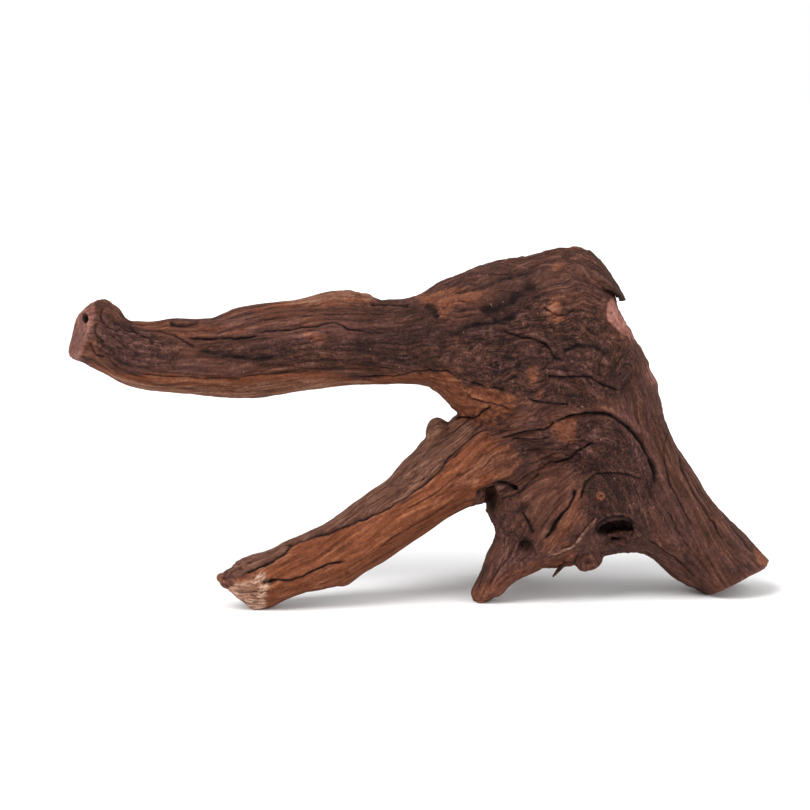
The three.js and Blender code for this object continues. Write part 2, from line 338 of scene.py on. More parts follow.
# Cracks and creases, cut into the relief with painted shade in them: (points, half width, depth, lip). A lip
# raises one side.
CRACKS = [
    # the arch crease over the belly, and the creases that run into it
    ([(64.5, 91), (74, 94), (84, 96.5), (93.5, 95.5), (102.5, 90.5), (109.5, 83.5),
      (114, 74.5), (117, 67.5), (118, 58.5)], 1.3, 2.6, 1.3),
    ([(39.5, 84.5), (51, 86.5), (62.5, 89), (68, 92)], 0.7, 1.3, 0.5),
    ([(66, 70.5), (74, 74), (80.5, 79.5), (87.5, 82)], 0.8, 1.6, 0.7),
    ([(79.5, 52.5), (83, 62), (92, 67), (102.5, 66.5), (111.5, 63)], 0.6, 0.9, 0.7),
    ([(62, 33), (66, 38), (69.5, 43.5), (75, 51.5), (77.5, 59.5)], 1.2, 2.4, 0.7),
    # swirls of the crown, darkened with painted shade
    ([(28, 148), (34, 148.5), (41, 150.5), (48, 155.5), (58.5, 162.5)], 4.2, 2.0, 0.5),
    ([(12, 136), (18.5, 137), (27.5, 141), (40.5, 143), (50, 146)], 2.6, 1.5, 0.5),
    ([(14, 156), (22, 158), (34, 160), (46, 165), (60, 168)], 1.8, 1.0, 0.4),
    ([(70, 126), (78, 130), (88, 129), (94, 124)], 1.6, 1.0, 0.4),
    ([(-112, 128), (-98, 125.4), (-84, 124), (-70, 125)], 1.4, 1.0, 0.5),
    ([(88, 38.6), (90.5, 41.6), (94.5, 44.2), (99, 45), (104, 44), (107.6, 41)], 1.1, 1.6, -0.5),
    ([(-165.8, 133), (-164.6, 129.6), (-162, 126.2), (-157.5, 124.4)], 0.8, 1.0, 0.6),
    ([(-162, 142.4), (-163.1, 138.2), (-161.6, 134.5), (-157.6, 131.6)], 0.8, 0.9, 0.6),
    ([(-159, 150), (-160, 145), (-157, 140), (-150, 137.4)], 0.7, 0.8, 0.5),
    ([(40, 138), (49.5, 135), (55, 134), (63, 130.5), (67.5, 125), (73, 122)], 0.8, 1.5, 0.8),
    ([(60, 116), (67, 114.8), (75, 114.5), (83.5, 115), (90.5, 111), (100.5, 107.5)], 0.8, 1.5, 0.6),
    ([(53, 104), (60.5, 102), (67.5, 101.5), (75, 101)], 0.6, 1.0, 0.4),
    ([(61, 150), (66, 147), (71, 145.5), (76, 147)], 0.6, 0.9, 0.5),
    ([(24, 112), (34, 110), (43, 108)], 1.6, 1.0, 0.3),
    # upper limb
    ([(-126, 141.4), (-121, 140.4), (-116, 140.6), (-110, 141.6)], 1.5, 1.3, 0.0),
    ([(-117, 134.4), (-108, 134.2), (-98, 134), (-88, 134.2), (-80, 136)], 0.8, 1.6, 0.5),
    ([(-85, 136.6), (-70, 138), (-52, 140.2), (-45, 141.6), (-40, 140.8), (-36, 138.4),
      (-25, 137.2), (-13.5, 136.5)], 0.55, 1.0, 0.3),
    ([(-26, 150.6), (-19, 151), (-12, 150.8), (-4.5, 150.2)], 1.0, 1.5, 0.3),
    ([(2, 151), (6, 148.5), (9.5, 144)], 2.8, 1.0, 0.3),
    ([(-150, 117.4), (-132, 116), (-112, 114.8), (-95, 114.6), (-78, 116.4), (-60, 117),
      (-45, 117.4)], 0.55, 0.6, -0.4),
    ([(-38, 115.6), (-28, 114.8), (-13.5, 115.4), (-3, 117.2), (8, 118), (15, 117),
      (20, 113)], 0.65, 1.1, -0.5),
    ([(-140, 138.6), (-128, 137), (-118, 133), (-112, 128.5)], 0.7, 0.8, 0.4),
    ([(-146, 141), (-142, 137), (-136, 134), (-133, 129)], 0.6, 0.6, 0.4),
    ([(-62, 144.4), (-48, 145.6), (-30, 146), (-14, 145.4)], 0.4, 0.5, 0.2),
    # crotch
    ([(17, 93.6), (22, 94.6), (27.5, 94.4), (31, 97.4), (36, 100.4)], 0.7, 1.5, 0.6),
    ([(22, 107), (28, 103), (38, 102), (46, 98)], 0.6, 0.6, 0.5),
    # the long crack between the fibrous strip and the bare wood of the lower limb
    ([(40, 89), (33, 88), (27, 86.5), (22, 81.5), (13.5, 74), (8.5, 66.5), (0, 59.5),
      (-9.5, 53), (-19, 47), (-28.5, 43.5)], 0.5, 1.1, 0.4),
    ([(-19, 47), (-28.5, 43.5), (-43, 37.5), (-52.5, 34.5), (-62, 31),
      (-69, 25), (-81.5, 18.5), (-91, 14.5)], 0.7, 1.5, 0.6),
    ([(-35.5, 22.5), (-42, 21.5), (-48, 20), (-57.5, 16), (-67, 13), (-78, 13.4)], 0.7, 1.4, 0.4),
    ([(14, 52), (4, 45), (-8, 38), (-20, 31)], 0.4, 0.6, 0.2),
    ([(28, 70), (16, 63), (4, 54.5), (-8, 48)], 0.4, 0.5, 0.2),
    ([(45, 84.5), (56, 83.5), (66, 85)], 0.5, 0.8, 0.4),
    # left foot
    ([(27, 55), (32, 58.6), (38, 61.6), (44, 61), (50, 58)], 1.6, 2.4, 0.8),
    ([(51, 48), (54, 42), (57.5, 36)], 0.9, 1.2, 0.4),
    ([(33, 22), (31, 15), (28.6, 9)], 0.6, 0.8, 0.3),
    ([(44, 24), (38, 17), (34, 9)], 0.5, 0.7, 0.3),
    ([(40, 54), (47, 56), (54, 61), (60, 68)], 0.6, 0.8, 0.4),
    # right leg
    ([(128, 79), (130.5, 68), (135, 58), (141, 49), (147, 40), (153, 31)], 0.55, 1.0, 0.3),
    ([(124, 92), (121, 80), (123, 66), (128, 54), (136, 40)], 0.45, 0.7, 0.2),
    ([(122, 50), (130, 36), (140, 22)], 0.4, 0.5, 0.2),
    ([(150, 46), (158, 36), (166, 26)], 0.4, 0.5, 0.2),
    ([(114, 34), (121, 28), (130, 22), (138, 13)], 0.6, 0.8, 0.4),
]

# The same, on the far side.
BACK_CRACKS = [
    ([(-158, 134), (-135, 128), (-108, 126), (-82, 129), (-56, 132)], 0.8, 1.6, 0.5),
    ([(-96, 119), (-70, 120), (-44, 124), (-20, 124)], 0.6, 1.2, 0.4),
    ([(-48, 144), (-20, 146), (6, 144), (24, 138)], 0.7, 1.4, 0.5),
    ([(2, 128), (20, 124), (38, 127), (56, 134), (70, 134)], 0.9, 1.8, 0.7),
    ([(22, 158), (42, 163), (62, 166), (78, 158), (88, 146)], 1.0, 1.4, 0.6),
    ([(36, 112), (54, 116), (72, 114), (88, 104), (98, 90)], 1.0, 2.0, 0.8),
    ([(86, 136), (98, 118), (108, 98), (118, 78), (130, 58)], 0.8, 1.6, 0.5),
    ([(116, 100), (124, 82), (136, 62), (150, 40)], 0.6, 1.2, 0.3),
    ([(100, 72), (108, 52), (120, 34), (134, 16)], 0.6, 1.2, 0.4),
    ([(-78, 17), (-54, 28), (-28, 44), (-4, 60), (16, 74)], 0.7, 1.4, 0.5),
    ([(-40, 22), (-18, 36), (4, 50), (24, 62)], 0.5, 0.9, 0.3),
    ([(20, 88), (40, 92), (60, 92), (78, 84)], 0.8, 1.5, 0.5),
    ([(40, 12), (45, 28), (53, 46), (62, 64)], 0.6, 1.3, 0.4),
    ([(48, 20), (56, 40), (66, 56)], 0.5, 0.9, 0.3),
    ([(78, 40), (86, 54), (88, 70)], 0.8, 1.3, 0.5),
]

# The worm bore in the hooked end: (across, up, half width, half height), and the way it goes
# in, in millimetres.
WORM_BORE = (-167.6, 144.2, 1.15, 2.2)
BORE_WAY = np.array((3.0, 1.6, -2.4))

# Hollows and raised knobs: (across, up, half width, half height, turn, depth). Hollows deeper than 1 mm are
# also darkened with painted shade.
DENTS = [
    (52.0, 31.4, 6.8, 6.2, -15, 1.0),    # around the pit in the left foot
    (50.5, 48.5, 5.0, 3.2, 20, 1.4),
    (35.5, 50.5, 3.2, 5.6, 15, 1.2),     # around the hole at the crotch of the foot
    (-75.5, 12.2, 4.4, 1.6, -8, 2.2),    # hole above the broken tip
    (97.4, 33.2, 4.8, 1.7, 2, 4.2),      # slit below the cave
    (89.6, 38.4, 4.8, 2.3, 42, 2.6),     # the cave's left end
    (98, 36.0, 9.0, 3.6, 2, 0.9),
    (-64, 30.3, 2.8, 1.2, 12, 2.6),
    (43, 125, 3.2, 2.6, 0, 1.3),
    (27, 111, 3.4, 2.0, 5, 1.5),
    (73, 134.5, 4.0, 2.4, -10, 1.2),
    (66, 41, 2.6, 5.6, -38, 1.2),
    (90, 120, 2.6, 1.8, 0, 0.9),
    (70, 154, 3.0, 2.0, 20, -1.0),
    (80, 168, 4.6, 3.0, -20, -1.2),
    (58, 126, 5.5, 3.6, -20, -1.0),
    (40, 101, 9.0, 4.4, 12, -1.1),
    (96, 84, 5.0, 3.2, -15, -1.0),
    (84.0, 22.0, 2.6, 1.7, 15, 1.6),     # inside the curled root end
    (-66, 31.5, 6.5, 2.6, 25, -1.8),
    (-38, 10.8, 3.6, 2.2, 10, -1.2),
    (-36.5, 17.0, 1.8, 1.4, 20, 0.8),
    (-154, 131, 8.0, 5.0, 10, -0.8),
]

# Colour zones: the finish, its strength, how soft its edge is, and its outline.
ZONES = [
    ("crust", 0.95, 3.0, [(14, 134), (26, 142), (46, 153), (60, 160), (74, 150), (88, 152),
                          (96, 138), (106, 124), (104, 106), (82, 101), (60, 100), (40, 109),
                          (24, 116), (16, 124)]),
    ("crust", 0.75, 5.0, [(0, 156), (20, 166), (50, 175), (80, 182), (92, 172), (100, 160),
                          (92, 150), (70, 158), (50, 164), (30, 159)]),
    ("crust", 1.0, 2.5, [(66, 90), (78, 96), (95, 95), (108, 84), (117, 66), (119, 50),
                         (112, 32), (96, 27), (84, 40), (80, 56), (72, 72)]),
    ("crust", 0.85, 3.0, [(-113, 132), (-75, 134), (-40, 133), (-8, 140), (14, 142), (18, 122),
                          (6, 119), (-12, 119), (-40, 119), (-72, 120), (-100, 122)]),
    ("crust", 0.9, 2.5, [(-161, 151), (-151, 142), (-135, 138), (-118, 131), (-124, 121),
                         (-150, 121), (-163, 130), (-161, 142)]),
    ("crust", 0.6, 4.0, [(-30, 151), (0, 152), (12, 146), (2, 140), (-30, 142)]),
    ("crust", 0.45, 5.0, [(104, 122), (118, 106), (130, 84), (150, 54), (172, 30), (166, 16),
                         (148, 6), (130, 12), (118, 22), (112, 40), (118, 62), (112, 86),
                         (102, 104)]),
    ("crust", 0.55, 5.0, [(48, 84), (64, 88), (66, 70), (58, 60), (46, 70)]),
    ("crust", 0.5, 3.0, [(30, 60), (46, 63), (58, 52), (60, 34), (48, 24), (42, 36), (38, 46)]),
    ("bare", 0.85, 1.2, [(-176, 122), (-150, 117), (-120, 115.6), (-95, 115), (-70, 117),
                         (-50, 117.6), (-38, 115.4), (-28, 114.6), (-13, 115.4), (0, 117.6),
                         (12, 118.2), (20, 113), (24, 104), (30, 92), (0, 96), (-60, 98),
                         (-176, 100)]),
    ("bare", 1.0, 1.0, [(-91, 14), (-81, 17.5), (-69, 24), (-62, 30), (-43, 36.8), (-28, 42.8),
                        (-9, 52.4), (0, 58.6), (9, 66), (14, 73.4), (20, 78), (28, 76),
                        (34, 72), (40, 66), (34, 60), (28, 55), (16, 40), (-30, -4),
                        (-100, -8)]),
    ("bare", 0.85, 3.0, [(18, 78), (30, 86), (42, 82), (50, 74), (44, 64), (30, 58)]),
    ("bare", 0.75, 2.5, [(16, 110), (34, 110), (48, 106), (46, 97), (36, 92), (18, 92)]),
    ("bare", 0.8, 1.5, [(-98, 146), (-80, 150), (-50, 156), (-36, 161), (-22, 158), (-22, 152.6),
                        (-40, 151.6), (-62, 150), (-84, 146.6)]),
    ("bare", 0.5, 2.0, [(-150, 144), (-116, 142), (-100, 140), (-88, 138), (-118, 135.4),
                        (-136, 139)]),
    # Painted shade over the hollows of the upper limb and the crown's swirls.
    ("dark", 0.55, 4.0, [(-44, 149), (-20, 148), (4, 150), (12, 144), (18, 136), (12, 120),
                         (-30, 120), (-36, 132), (-30, 140)]),
    ("dark", 0.4, 4.0, [(14, 150), (34, 158), (54, 164), (60, 158), (46, 150), (36, 142),
                        (20, 134), (12, 140)]),
    ("dark", 0.32, 2.5, [(-118, 133), (-98, 133), (-74, 131), (-60, 128), (-74, 123), (-96, 124),
                        (-112, 127)]),
    ("dark", 0.45, 3.0, [(44, 80), (58, 86), (66, 82), (70, 74), (60, 66), (52, 70)]),
    # Painted shade inside the cave and in the slit below it.
    ("dark", 0.7, 1.0, [(87.6, 38), (90.4, 42.4), (96, 45.6), (102, 45.8), (107, 43), (107.4, 41.4),
                        (101, 40.6), (92, 38)]),
    ("dark", 0.6, 1.2, [(89.6, 32.6), (99.6, 34.4), (100, 31.4), (92, 30.6)]),
    ("warm", 1.0, 4.0, [(54, 156), (66, 160), (78, 156), (76, 142), (66, 134), (54, 144)]),
    ("warm", 1.0, 4.0, [(20, 112), (44, 114), (60, 112), (60, 104), (40, 96), (18, 92)]),
    ("warm", 1.0, 4.0, [(46, 58), (64, 72), (80, 66), (74, 44), (60, 32), (46, 44)]),
    ("orange", 0.8, 0.8, [(-2, 155), (9, 158), (20, 160), (33, 157.5), (27, 152), (18, 150.6),
                          (13, 144.5), (9, 146), (8, 151), (0, 152)]),
    ("orange", 0.75, 0.8, [(-58, 136.6), (-47, 136), (-47, 132.4), (-53, 131.6), (-58, 133)]),
    ("orange", 0.85, 0.8, [(65.5, 91), (71, 93), (79, 95), (78, 89), (78, 82), (73.5, 80.5),
                           (68, 84)]),
    ("orange", 0.8, 0.8, [(64, 154), (69, 155.5), (70, 148), (72, 143), (66, 141), (63, 147)]),
    ("orange", 0.7, 1.0, [(66, 171), (71, 171), (71, 167), (66, 167)]),
    ("orange", 0.75, 0.8, [(54, 121), (59, 119), (58, 112), (55.5, 112), (54, 116)]),
    ("orange", 0.6, 0.8, [(58, 109), (62, 108), (61, 104), (57, 104)]),
    ("orange", 0.35, 1.5, [(25, 76), (45, 76), (47, 70), (34, 66), (22, 60), (14, 60)]),
    ("orange", 0.6, 0.7, [(17, 133), (20, 134), (20.5, 131), (17.5, 131)]),
    ("bare", 0.5, 2.0, [(24, 8), (28, 11), (36, 13), (46, 17), (60, 24), (76, 28), (78, 24),
                        (66, 18), (44, 4), (26, -2)]),
    # Painted shade inside the curled root end and in the pit of the left foot.
    ("dark", 0.3, 1.5, [(82, 25), (87, 25.5), (88.5, 22), (86, 19), (82.4, 20)]),
    ("dark", 0.4, 2.0, [(46, 35), (52, 37.5), (57.5, 34), (57.5, 28), (52, 25), (46.5, 28)]),
    ("crust", 0.5, 3.0, [(30, 56), (40, 54), (48, 46), (60, 40), (62, 26), (46, 22), (38, 40)]),
    ("pale", 0.32, 1.5, [(-72, 152), (-50, 156.5), (-36, 161.5), (-20, 158.5), (-22, 154), (-40, 154),
                         (-60, 150.5)]),
    ("pale", 0.28, 2.0, [(-152, 114), (-120, 111), (-95, 110.5), (-60, 113), (-24, 114), (-20, 108),
                         (-70, 102), (-120, 102), (-152, 108)]),
    # A grey band along the crown's top edge: a painted sheen.
    ("grey_and_sheen", 0.35, 5.0, [(20, 160), (50, 171), (80, 179), (94, 172), (88, 160), (60, 160), (30, 154)]),
    ("grey_and_sheen", 0.25, 4.0, [(92, 150), (108, 134), (120, 112), (126, 92), (140, 68), (158, 46), (174, 26),
                         (160, 22), (140, 42), (122, 68), (112, 98), (100, 126)]),
    ("dark", 0.45, 5.0, [(34, 84), (52, 84), (60, 72), (52, 62), (38, 64), (30, 74)]),
    ("dark", 0.35, 4.0, [(80, 70), (96, 72), (108, 62), (112, 46), (104, 46), (88, 46), (80, 52)]),
    ("dark", 0.4, 5.0, [(98, 128), (108, 122), (116, 106), (112, 96), (100, 104), (92, 118)]),
    ("bare", 0.35, 2.0, [(62, 30), (70, 44), (78, 60), (84, 70), (80, 52), (72, 34), (78, 30)]),
    ("pink", 0.95, 0.5, [(93, 151), (96, 154), (103, 153), (106, 146), (109, 138), (110, 131),
                         (103, 134.4), (97.4, 139.4), (92.6, 145.4)]),
    ("pink", 0.55, 0.9, [(110.6, 120.6), (114.5, 120.6), (118.6, 115), (118.8, 110.4), (115, 111.4),
                        (112, 115.6)]),
    ("orange", 0.95, 0.5, [(166.4, 29), (169, 28), (176, 20.4), (170, 20), (167.4, 23)]),
    ("pink", 0.42, 0.7, [(-180, 124), (-178, 150), (-163.5, 155), (-162.4, 146), (-165.6, 138),
                         (-168, 130), (-171, 122)]),
    ("pale", 1.0, 1.0, [(-95.5, 9), (-90, 12), (-84, 14.6), (-78, 16.5), (-76, 12), (-78, 6),
                        (-77, 1), (-83, -3), (-90, 1)]),
    ("grey_and_sheen", 0.9, 1.0, [(-100, 18), (-91, 15), (-81.5, 18.6), (-69, 25), (-62, 31), (-43, 37.6),
                        (-28.5, 43.8), (-9.5, 53.2), (0, 59.6), (8.5, 66.6), (13.5, 74),
                        (22, 81.6), (28, 88), (16, 94), (4, 98), (-20, 84), (-60, 56),
                        (-104, 30)]),
]


def turned(u, v, at_u, at_v, wide, high, turn):
    """Distance from the middle of a turned ellipse, 1 on its edge."""
    c, s = math.cos(math.radians(turn)), math.sin(math.radians(turn))
    du, dv = u - at_u, v - at_v
    return np.hypot((du * c + dv * s) / wide, (dv * c - du * s) / high)


# --------------------------------------------------------------- the wood's surface

# The two flat broken ends, where the edges stay crisp: a point and the way it faces.
FLAT_ENDS = [
    ((-170.1, -17.2, 135.0), (-0.93, -0.34, 0.14)),
    ((160.0, 5.8, 7.8), (0.49, -0.12, -0.87)),
]


CRISP_REACH = 4.0      # how far from a flat broken end its edges stay crisp
RESTORED = 2           # how often the size that relaxing takes away is given back
MIDDLE_RISE = -0.2     # the usual height of the relief
STANDS_PROUD = 0.3     # how far the skin as a whole stands proud

# The lit sill of the cave: (across, up, half width, half height, depth behind the lip)
SILL = (100.5, 36.0, 7.5, 2.4, 3.0)

# Places where the outline is shifted: (across, up, then how far to the right and up in
# millimetres, and the reach of the shift).
NUDGES = [
    (-175, 127.5, -2.6, -1.2, 6),
    (-173, 145, -1.1, 0.4, 6),
    (-165, 152, -0.2, 0.6, 5),
    (-141, 143, 0.4, 0.5, 5),
    (6, 161.5, -0.6, 1.6, 9),
    (31, 171.5, -0.1, 0.6, 9),
    (86, 177, 1.2, 0.6, 7),
    (104, 139, 2.0, 0.6, 6),
    (111, 127, 0.5, 0.4, 6),
    (117, 112, 1.1, 0.2, 7),
    (121, 100, 1.5, 0.3, 8),
    (126, 85, 1.2, 0.6, 8),
    (132, 75, 1.2, 0.8, 8),
    (139, 65, 1.1, 0.9, 8),
    (172, 18, 1.6, -0.8, 6),
    (141, 8, 0.2, 0.8, 5),
    (-34, 12.5, 0.4, -1.2, 6),
    (-57, 38, -0.3, 0.8, 7),
    (-31, 54, -0.4, 0.5, 12),
    (-9, 72, -0.5, 0.5, 8),
    (16.5, 97, -1.4, 0.2, 4),
    (-36, 161, 0.0, 0.7, 4),
    (-26, 156.5, 0.3, 0.7, 3),
    (-20, 153.5, 0.0, -0.7, 3),
    (112.5, 121.5, 0.9, 0.3, 2.5),
    (118.5, 112, 0.8, 0.0, 2.5),
    (-100.5, 15, 1.2, 0.0, 4),
    (97, 27, 0.1, -0.8, 5),
    (81, 18.5, 0.1, -0.9, 4),
    (39, 5.5, 0.9, -0.7, 4),
    (27.5, 14, 0.8, 0.0, 6),
    (33, 49, -0.6, 0.0, 4),
]


class Surface:
    """The wood's skin: where it is, which way it faces and what it is like at each point."""

    def __init__(self, spacing, smoothing):
        self.points, self.quads = self.remeshed(spacing)
        count = len(self.points)
        self.table, self.number = neighbour_table(count, self.quads)
        crisp = np.zeros(count, np.float32)
        for at, facing in FLAT_ENDS:
            facing = np.array(facing) / np.linalg.norm(facing)
            crisp = np.maximum(crisp, bump(np.minimum(0, (self.points - at) @ facing), CRISP_REACH))
        rounds = int((smoothing / spacing) ** 2)
        amount = 0.6 * (1 - 0.93 * crisp)
        even = relax(self.points, self.table, self.number, rounds, amount)
        for _ in range(RESTORED):
            even = even + relax(self.points - even, self.table, self.number, rounds, amount)
        self.points = even
        self.nudge()
        self.bring_sill_forward()
        self.normals = vertex_normals(self.points, self.quads)
        self.crisp = crisp
        self.draw()

    def remeshed(self, spacing):
        """The CAD wood, its knot grown in, as an even mesh of small quads."""
        graft = bmesh.new()
        for node in ("root_wood", "pin_knot"):
            graft.from_mesh(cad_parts[node].data)
        whole = bpy.data.meshes.new("even_wood")
        graft.to_mesh(whole)
        graft.free()
        copy = bpy.data.objects.new("even_wood", whole)
        bpy.context.scene.collection.objects.link(copy)
        remesh = copy.modifiers.new("even", "REMESH")
        remesh.mode = "VOXEL"
        remesh.voxel_size = spacing * MM
        graph = bpy.context.evaluated_depsgraph_get()
        mesh = bpy.data.meshes.new_from_object(copy.evaluated_get(graph))
        arrays = mesh_arrays(mesh)
        bpy.data.objects.remove(copy)
        bpy.data.meshes.remove(mesh)
        return arrays

    def nudge(self):
        """Shifts the outline at the places in NUDGES."""
        across, up = on_sheet(self.points)
        for at_u, at_v, right, rise, reach in NUDGES:
            share = bump(np.hypot(across - at_u, up - at_v), reach)
            self.points = self.points + share[:, None] * (right * SHEET_RIGHT + rise * SHEET_UP)

    def bring_sill_forward(self):
        """Brings the cave's floor forward, so that light falls on its sill."""
        across, up, wide, high, depth = SILL
        u, v = on_sheet(self.points)
        share = step(1.35, 0.7, turned(u, v, across, up, wide, high, 4))
        away = self.points @ SHEET_AWAY
        behind = away - away[share > 0.2].min() - depth
        share *= step(19, 16, behind)
        self.points = self.points - (share * np.maximum(behind, 0))[:, None] * SHEET_AWAY

    def draw(self):
        """Works out every mark: self.rise in millimetres, the finishes from 0 to 1, and the painted shade of
        grooves and hollows from 0 to 1.
        """
        p = self.points
        self.u, self.v = on_sheet(p)
        self.facing = -(self.normals @ SHEET_AWAY)
        self.front = step(-0.25, 0.25, self.facing)
        self.wrapped = step(-0.65, -0.2, self.facing)
        self.ahead = step(-0.25, 0.0, self.facing)
        self.wobble = layered(p, 9, 2, seed=40)
        self.crumbs = layered(p, 2.4, 3, seed=100)
        self.knotty = np.exp(-(((p[:, 0] - 62) / 58) ** 4 + ((p[:, 2] - 128) / 48) ** 4))
        wander = np.stack([layered(p, 26, 2, seed=s) for s in (60, 70, 80)], axis=1)
        self.wander = wander * (2.0 + 7 * self.knotty)[:, None]
        self.grain = Grain(p, self.wander)
        self.streak = self.grain.streaks((44, 2.2, 2.2), 3, seed=1)
        # Painted shade in the cracks, furrow valleys, dents and worm bore, from 0 to 1.
        self.groove_shade = np.zeros(len(p))
        self.finishes = self.zones()
        self.rise = self.relief()
        self.cut_marks()
        self.rise = (self.rise - MIDDLE_RISE) * (1 - 0.6 * self.crisp) + STANDS_PROUD
        self.bore_worm_hole()
        self.groove_shade = np.clip(self.groove_shade, 0, 1)
        self.skin_points = self.raised()
        self.marks = self.fields(self.skin_points)

    def zones(self):
        """How far each finish covers each point, from 0 to 1."""
        p = self.points
        names = ("crust", "bare", "orange", "pink", "pale", "grey_and_sheen", "warm", "dark")
        finishes = {name: np.zeros(len(p)) for name in names}
        u = self.u + 1.1 * self.wobble
        v = self.v + 1.1 * layered(p, 9, 2, seed=50)
        frayed = 0.9 * self.wobble + 0.8 * self.crumbs + 1.3 * self.streak
        for name, strength, soft, outline in ZONES:
            reach = inside(u, v, outline) + soft * 1.3 * frayed
            shown = self.ahead if name == "orange" else self.wrapped
            if name == "pink":
                shown = self.torn_side(outline)
            zone = strength * step(-soft, soft, reach) * shown
            if name == "pale":
                zone = zone * np.clip(0.9 + 0.5 * self.crumbs + 0.5 * self.wobble, 0, 1)
            if name not in ("crust", "warm", "dark"):
                finishes["crust"] *= 1 - zone
            if name in ("orange", "pale", "pink"):
                finishes["bare"] *= 1 - zone
            finishes[name] = np.maximum(finishes[name], zone)
        behind = 1 - self.wrapped
        patches = layered(p, 30, 2, seed=120) + 0.35 * self.streak
        finishes["crust"] = np.maximum(finishes["crust"], behind * step(-0.05, 0.2, patches) * 0.9)
        finishes["bare"] = np.maximum(finishes["bare"], behind * step(0.08, 0.35, -patches) * 0.7)
        patches = step(-0.3, 0.3, self.grain.streaks((42, 12, 12), 3, seed=160))
        finishes["warm"] = np.maximum(0.8 * finishes["warm"], patches)
        return finishes

    def torn_side(self, outline):
        """1 where a torn patch still shows as the wood turns away, its far end rounded."""
        rows = [row for _, row in outline]
        middle, half = (max(rows) + min(rows)) / 2, (max(rows) - min(rows)) / 2
        torn = self.facing + 0.3 * self.wobble + 0.3 * self.crumbs
        torn -= 0.35 * ((self.v - middle + 2 * self.wobble) / half) ** 2
        return step(-0.04, 0.06, torn)

    def relief(self):
        """The height of the grain, the burrs and the crust, in millimetres; also paints shade into the
        valleys of the furrows and ribs.
        """
        p, grain, knotty = self.points, self.grain, self.knotty
        crust, pale = self.finishes["crust"], self.finishes["pale"]
        flutes = grain.streaks((95, 10, 10), 2, seed=20)
        furrows = grain.streaks((48, 5.2, 5.2), 2, seed=30, folded=True)
        ribs = grain.streaks((22, 2.3, 2.3), 2, seed=45, folded=True)
        fibres = grain.streaks((14, 1.2, 1.2), 1, seed=55)
        burrs = layered(p + 0.6 * self.wander, 11, 3, seed=95, folded=True)
        rise = 0.9 * layered(p, 34, 2, seed=90) + (0.8 - 0.3 * knotty) * flutes
        smooth = 1 - 0.45 * self.finishes["bare"]
        rise += smooth * (0.75 * furrows + (0.30 + 0.14 * knotty) * ribs + 0.14 * fibres)
        rise += knotty * 1.1 * burrs
        rise += crust * (0.15 + 0.32 * self.crumbs)
        rise += crust * 0.5 * grain.streaks((7, 3.2, 3.2), 3, seed=110, folded=True)
        rise *= 1 - 0.8 * self.finishes["pink"]
        chewed = layered(p, 2.4, 2, seed=200, folded=True)
        rise -= self.finishes["orange"] * (0.45 - 0.25 * self.crumbs - 0.45 * chewed)
        rise += pale * 0.9 * grain.streaks((9, 0.9, 0.9), 2, seed=140)
        rise += self.finishes["grey_and_sheen"] * 0.3 * grain.streaks((30, 1.1, 1.1), 1, seed=150)

        # Painted shade in the valleys of the furrows and ribs, less on bare wood.
        valleys = step(-0.34, -0.50, furrows) * 0.55 + step(-0.36, -0.52, ribs) * 0.30
        valleys *= 1 - 0.6 * self.finishes["bare"]
        self.groove_shade = np.maximum(self.groove_shade, valleys)
        return rise

    def cut_marks(self):
        """Cuts the drawn cracks, creases and hollows into the relief, and paints shade into them."""
        p = self.points
        u = self.u + 0.8 * self.wobble + 0.35 * layered(p, 3.2, 2, seed=170)
        v = self.v + 0.8 * layered(p, 9, 2, seed=50) + 0.35 * layered(p, 3.2, 2, seed=180)
        patchy = layered(p, 7, 2, seed=190)
        sides = [(crack, self.front) for crack in CRACKS]
        sides += [(crack, 1 - self.wrapped) for crack in BACK_CRACKS]
        for (points, width, depth, lip), seen in sides:
            near, distance, side, along = to_line(u, v, points, 7 * width + 1)
            ends = step(0, 0.12, along) * step(1, 0.88, along)
            uneven = 0.85 + 0.35 * self.streak[near] + 0.7 * patchy[near]
            strength = ends * np.clip(uneven, 0.2, 1.35) * seen[near]
            core = bump(distance, 0.62 * width)
            trough = bump(distance, 1.9 * width)
            self.rise[near] -= depth * strength * (0.75 * core + 0.3 * trough)
            raised = bump(side * distance - 2.3 * width, 1.5 * width) * strength
            self.rise[near] += lip * raised
            # Painted shade in the crack's core and trough.
            shade = (0.9 * core + 0.22 * trough) * strength * min(1, 0.5 + 0.3 * depth)
            self.groove_shade[near] = np.maximum(self.groove_shade[near], shade)
        for at_u, at_v, wide, high, turn, depth in DENTS:
            reach = turned(u, v, at_u, at_v, wide, high, turn)
            self.rise -= depth * np.exp(-reach**2 * 1.3) * self.front
            # Hollows deeper than 1 mm get painted shade as well.
            if depth > 1:
                shade = np.exp(-reach**2 * 1.5) * self.front * min(0.85, 0.3 + 0.16 * depth)
                self.groove_shade = np.maximum(self.groove_shade, shade)

    def bore_worm_hole(self):
        """Pushes the worm bore into the hook's broken face and paints shade into it."""
        reach = turned(self.u, self.v, *WORM_BORE, 8)
        share = step(1.25, 0.8, reach) * step(0.3, 0.7, self.crisp)
        self.points = self.points + share[:, None] * BORE_WAY
        # Painted shade inside the bore.
        self.groove_shade = np.maximum(self.groove_shade, step(1.45, 0.95, reach) * step(0.3, 0.7, self.crisp))

    def raised(self, extra=0.0):
        """The skin with its relief, and extra millimetres on top."""
        points = self.points + self.normals * (self.rise + extra)[:, None]
        points[:, 2] = np.maximum(points[:, 2], 0.02)
        return points

    def hollowness(self, points):
        """Above 0 in grooves and below 0 on ridges, seen at two scales."""
        normals = vertex_normals(points, self.quads)
        fine = relax(points, self.table, self.number, 3)
        broad = relax(fine, self.table, self.number, 22)
        return ((fine - points) * normals).sum(1), ((broad - fine) * normals).sum(1)

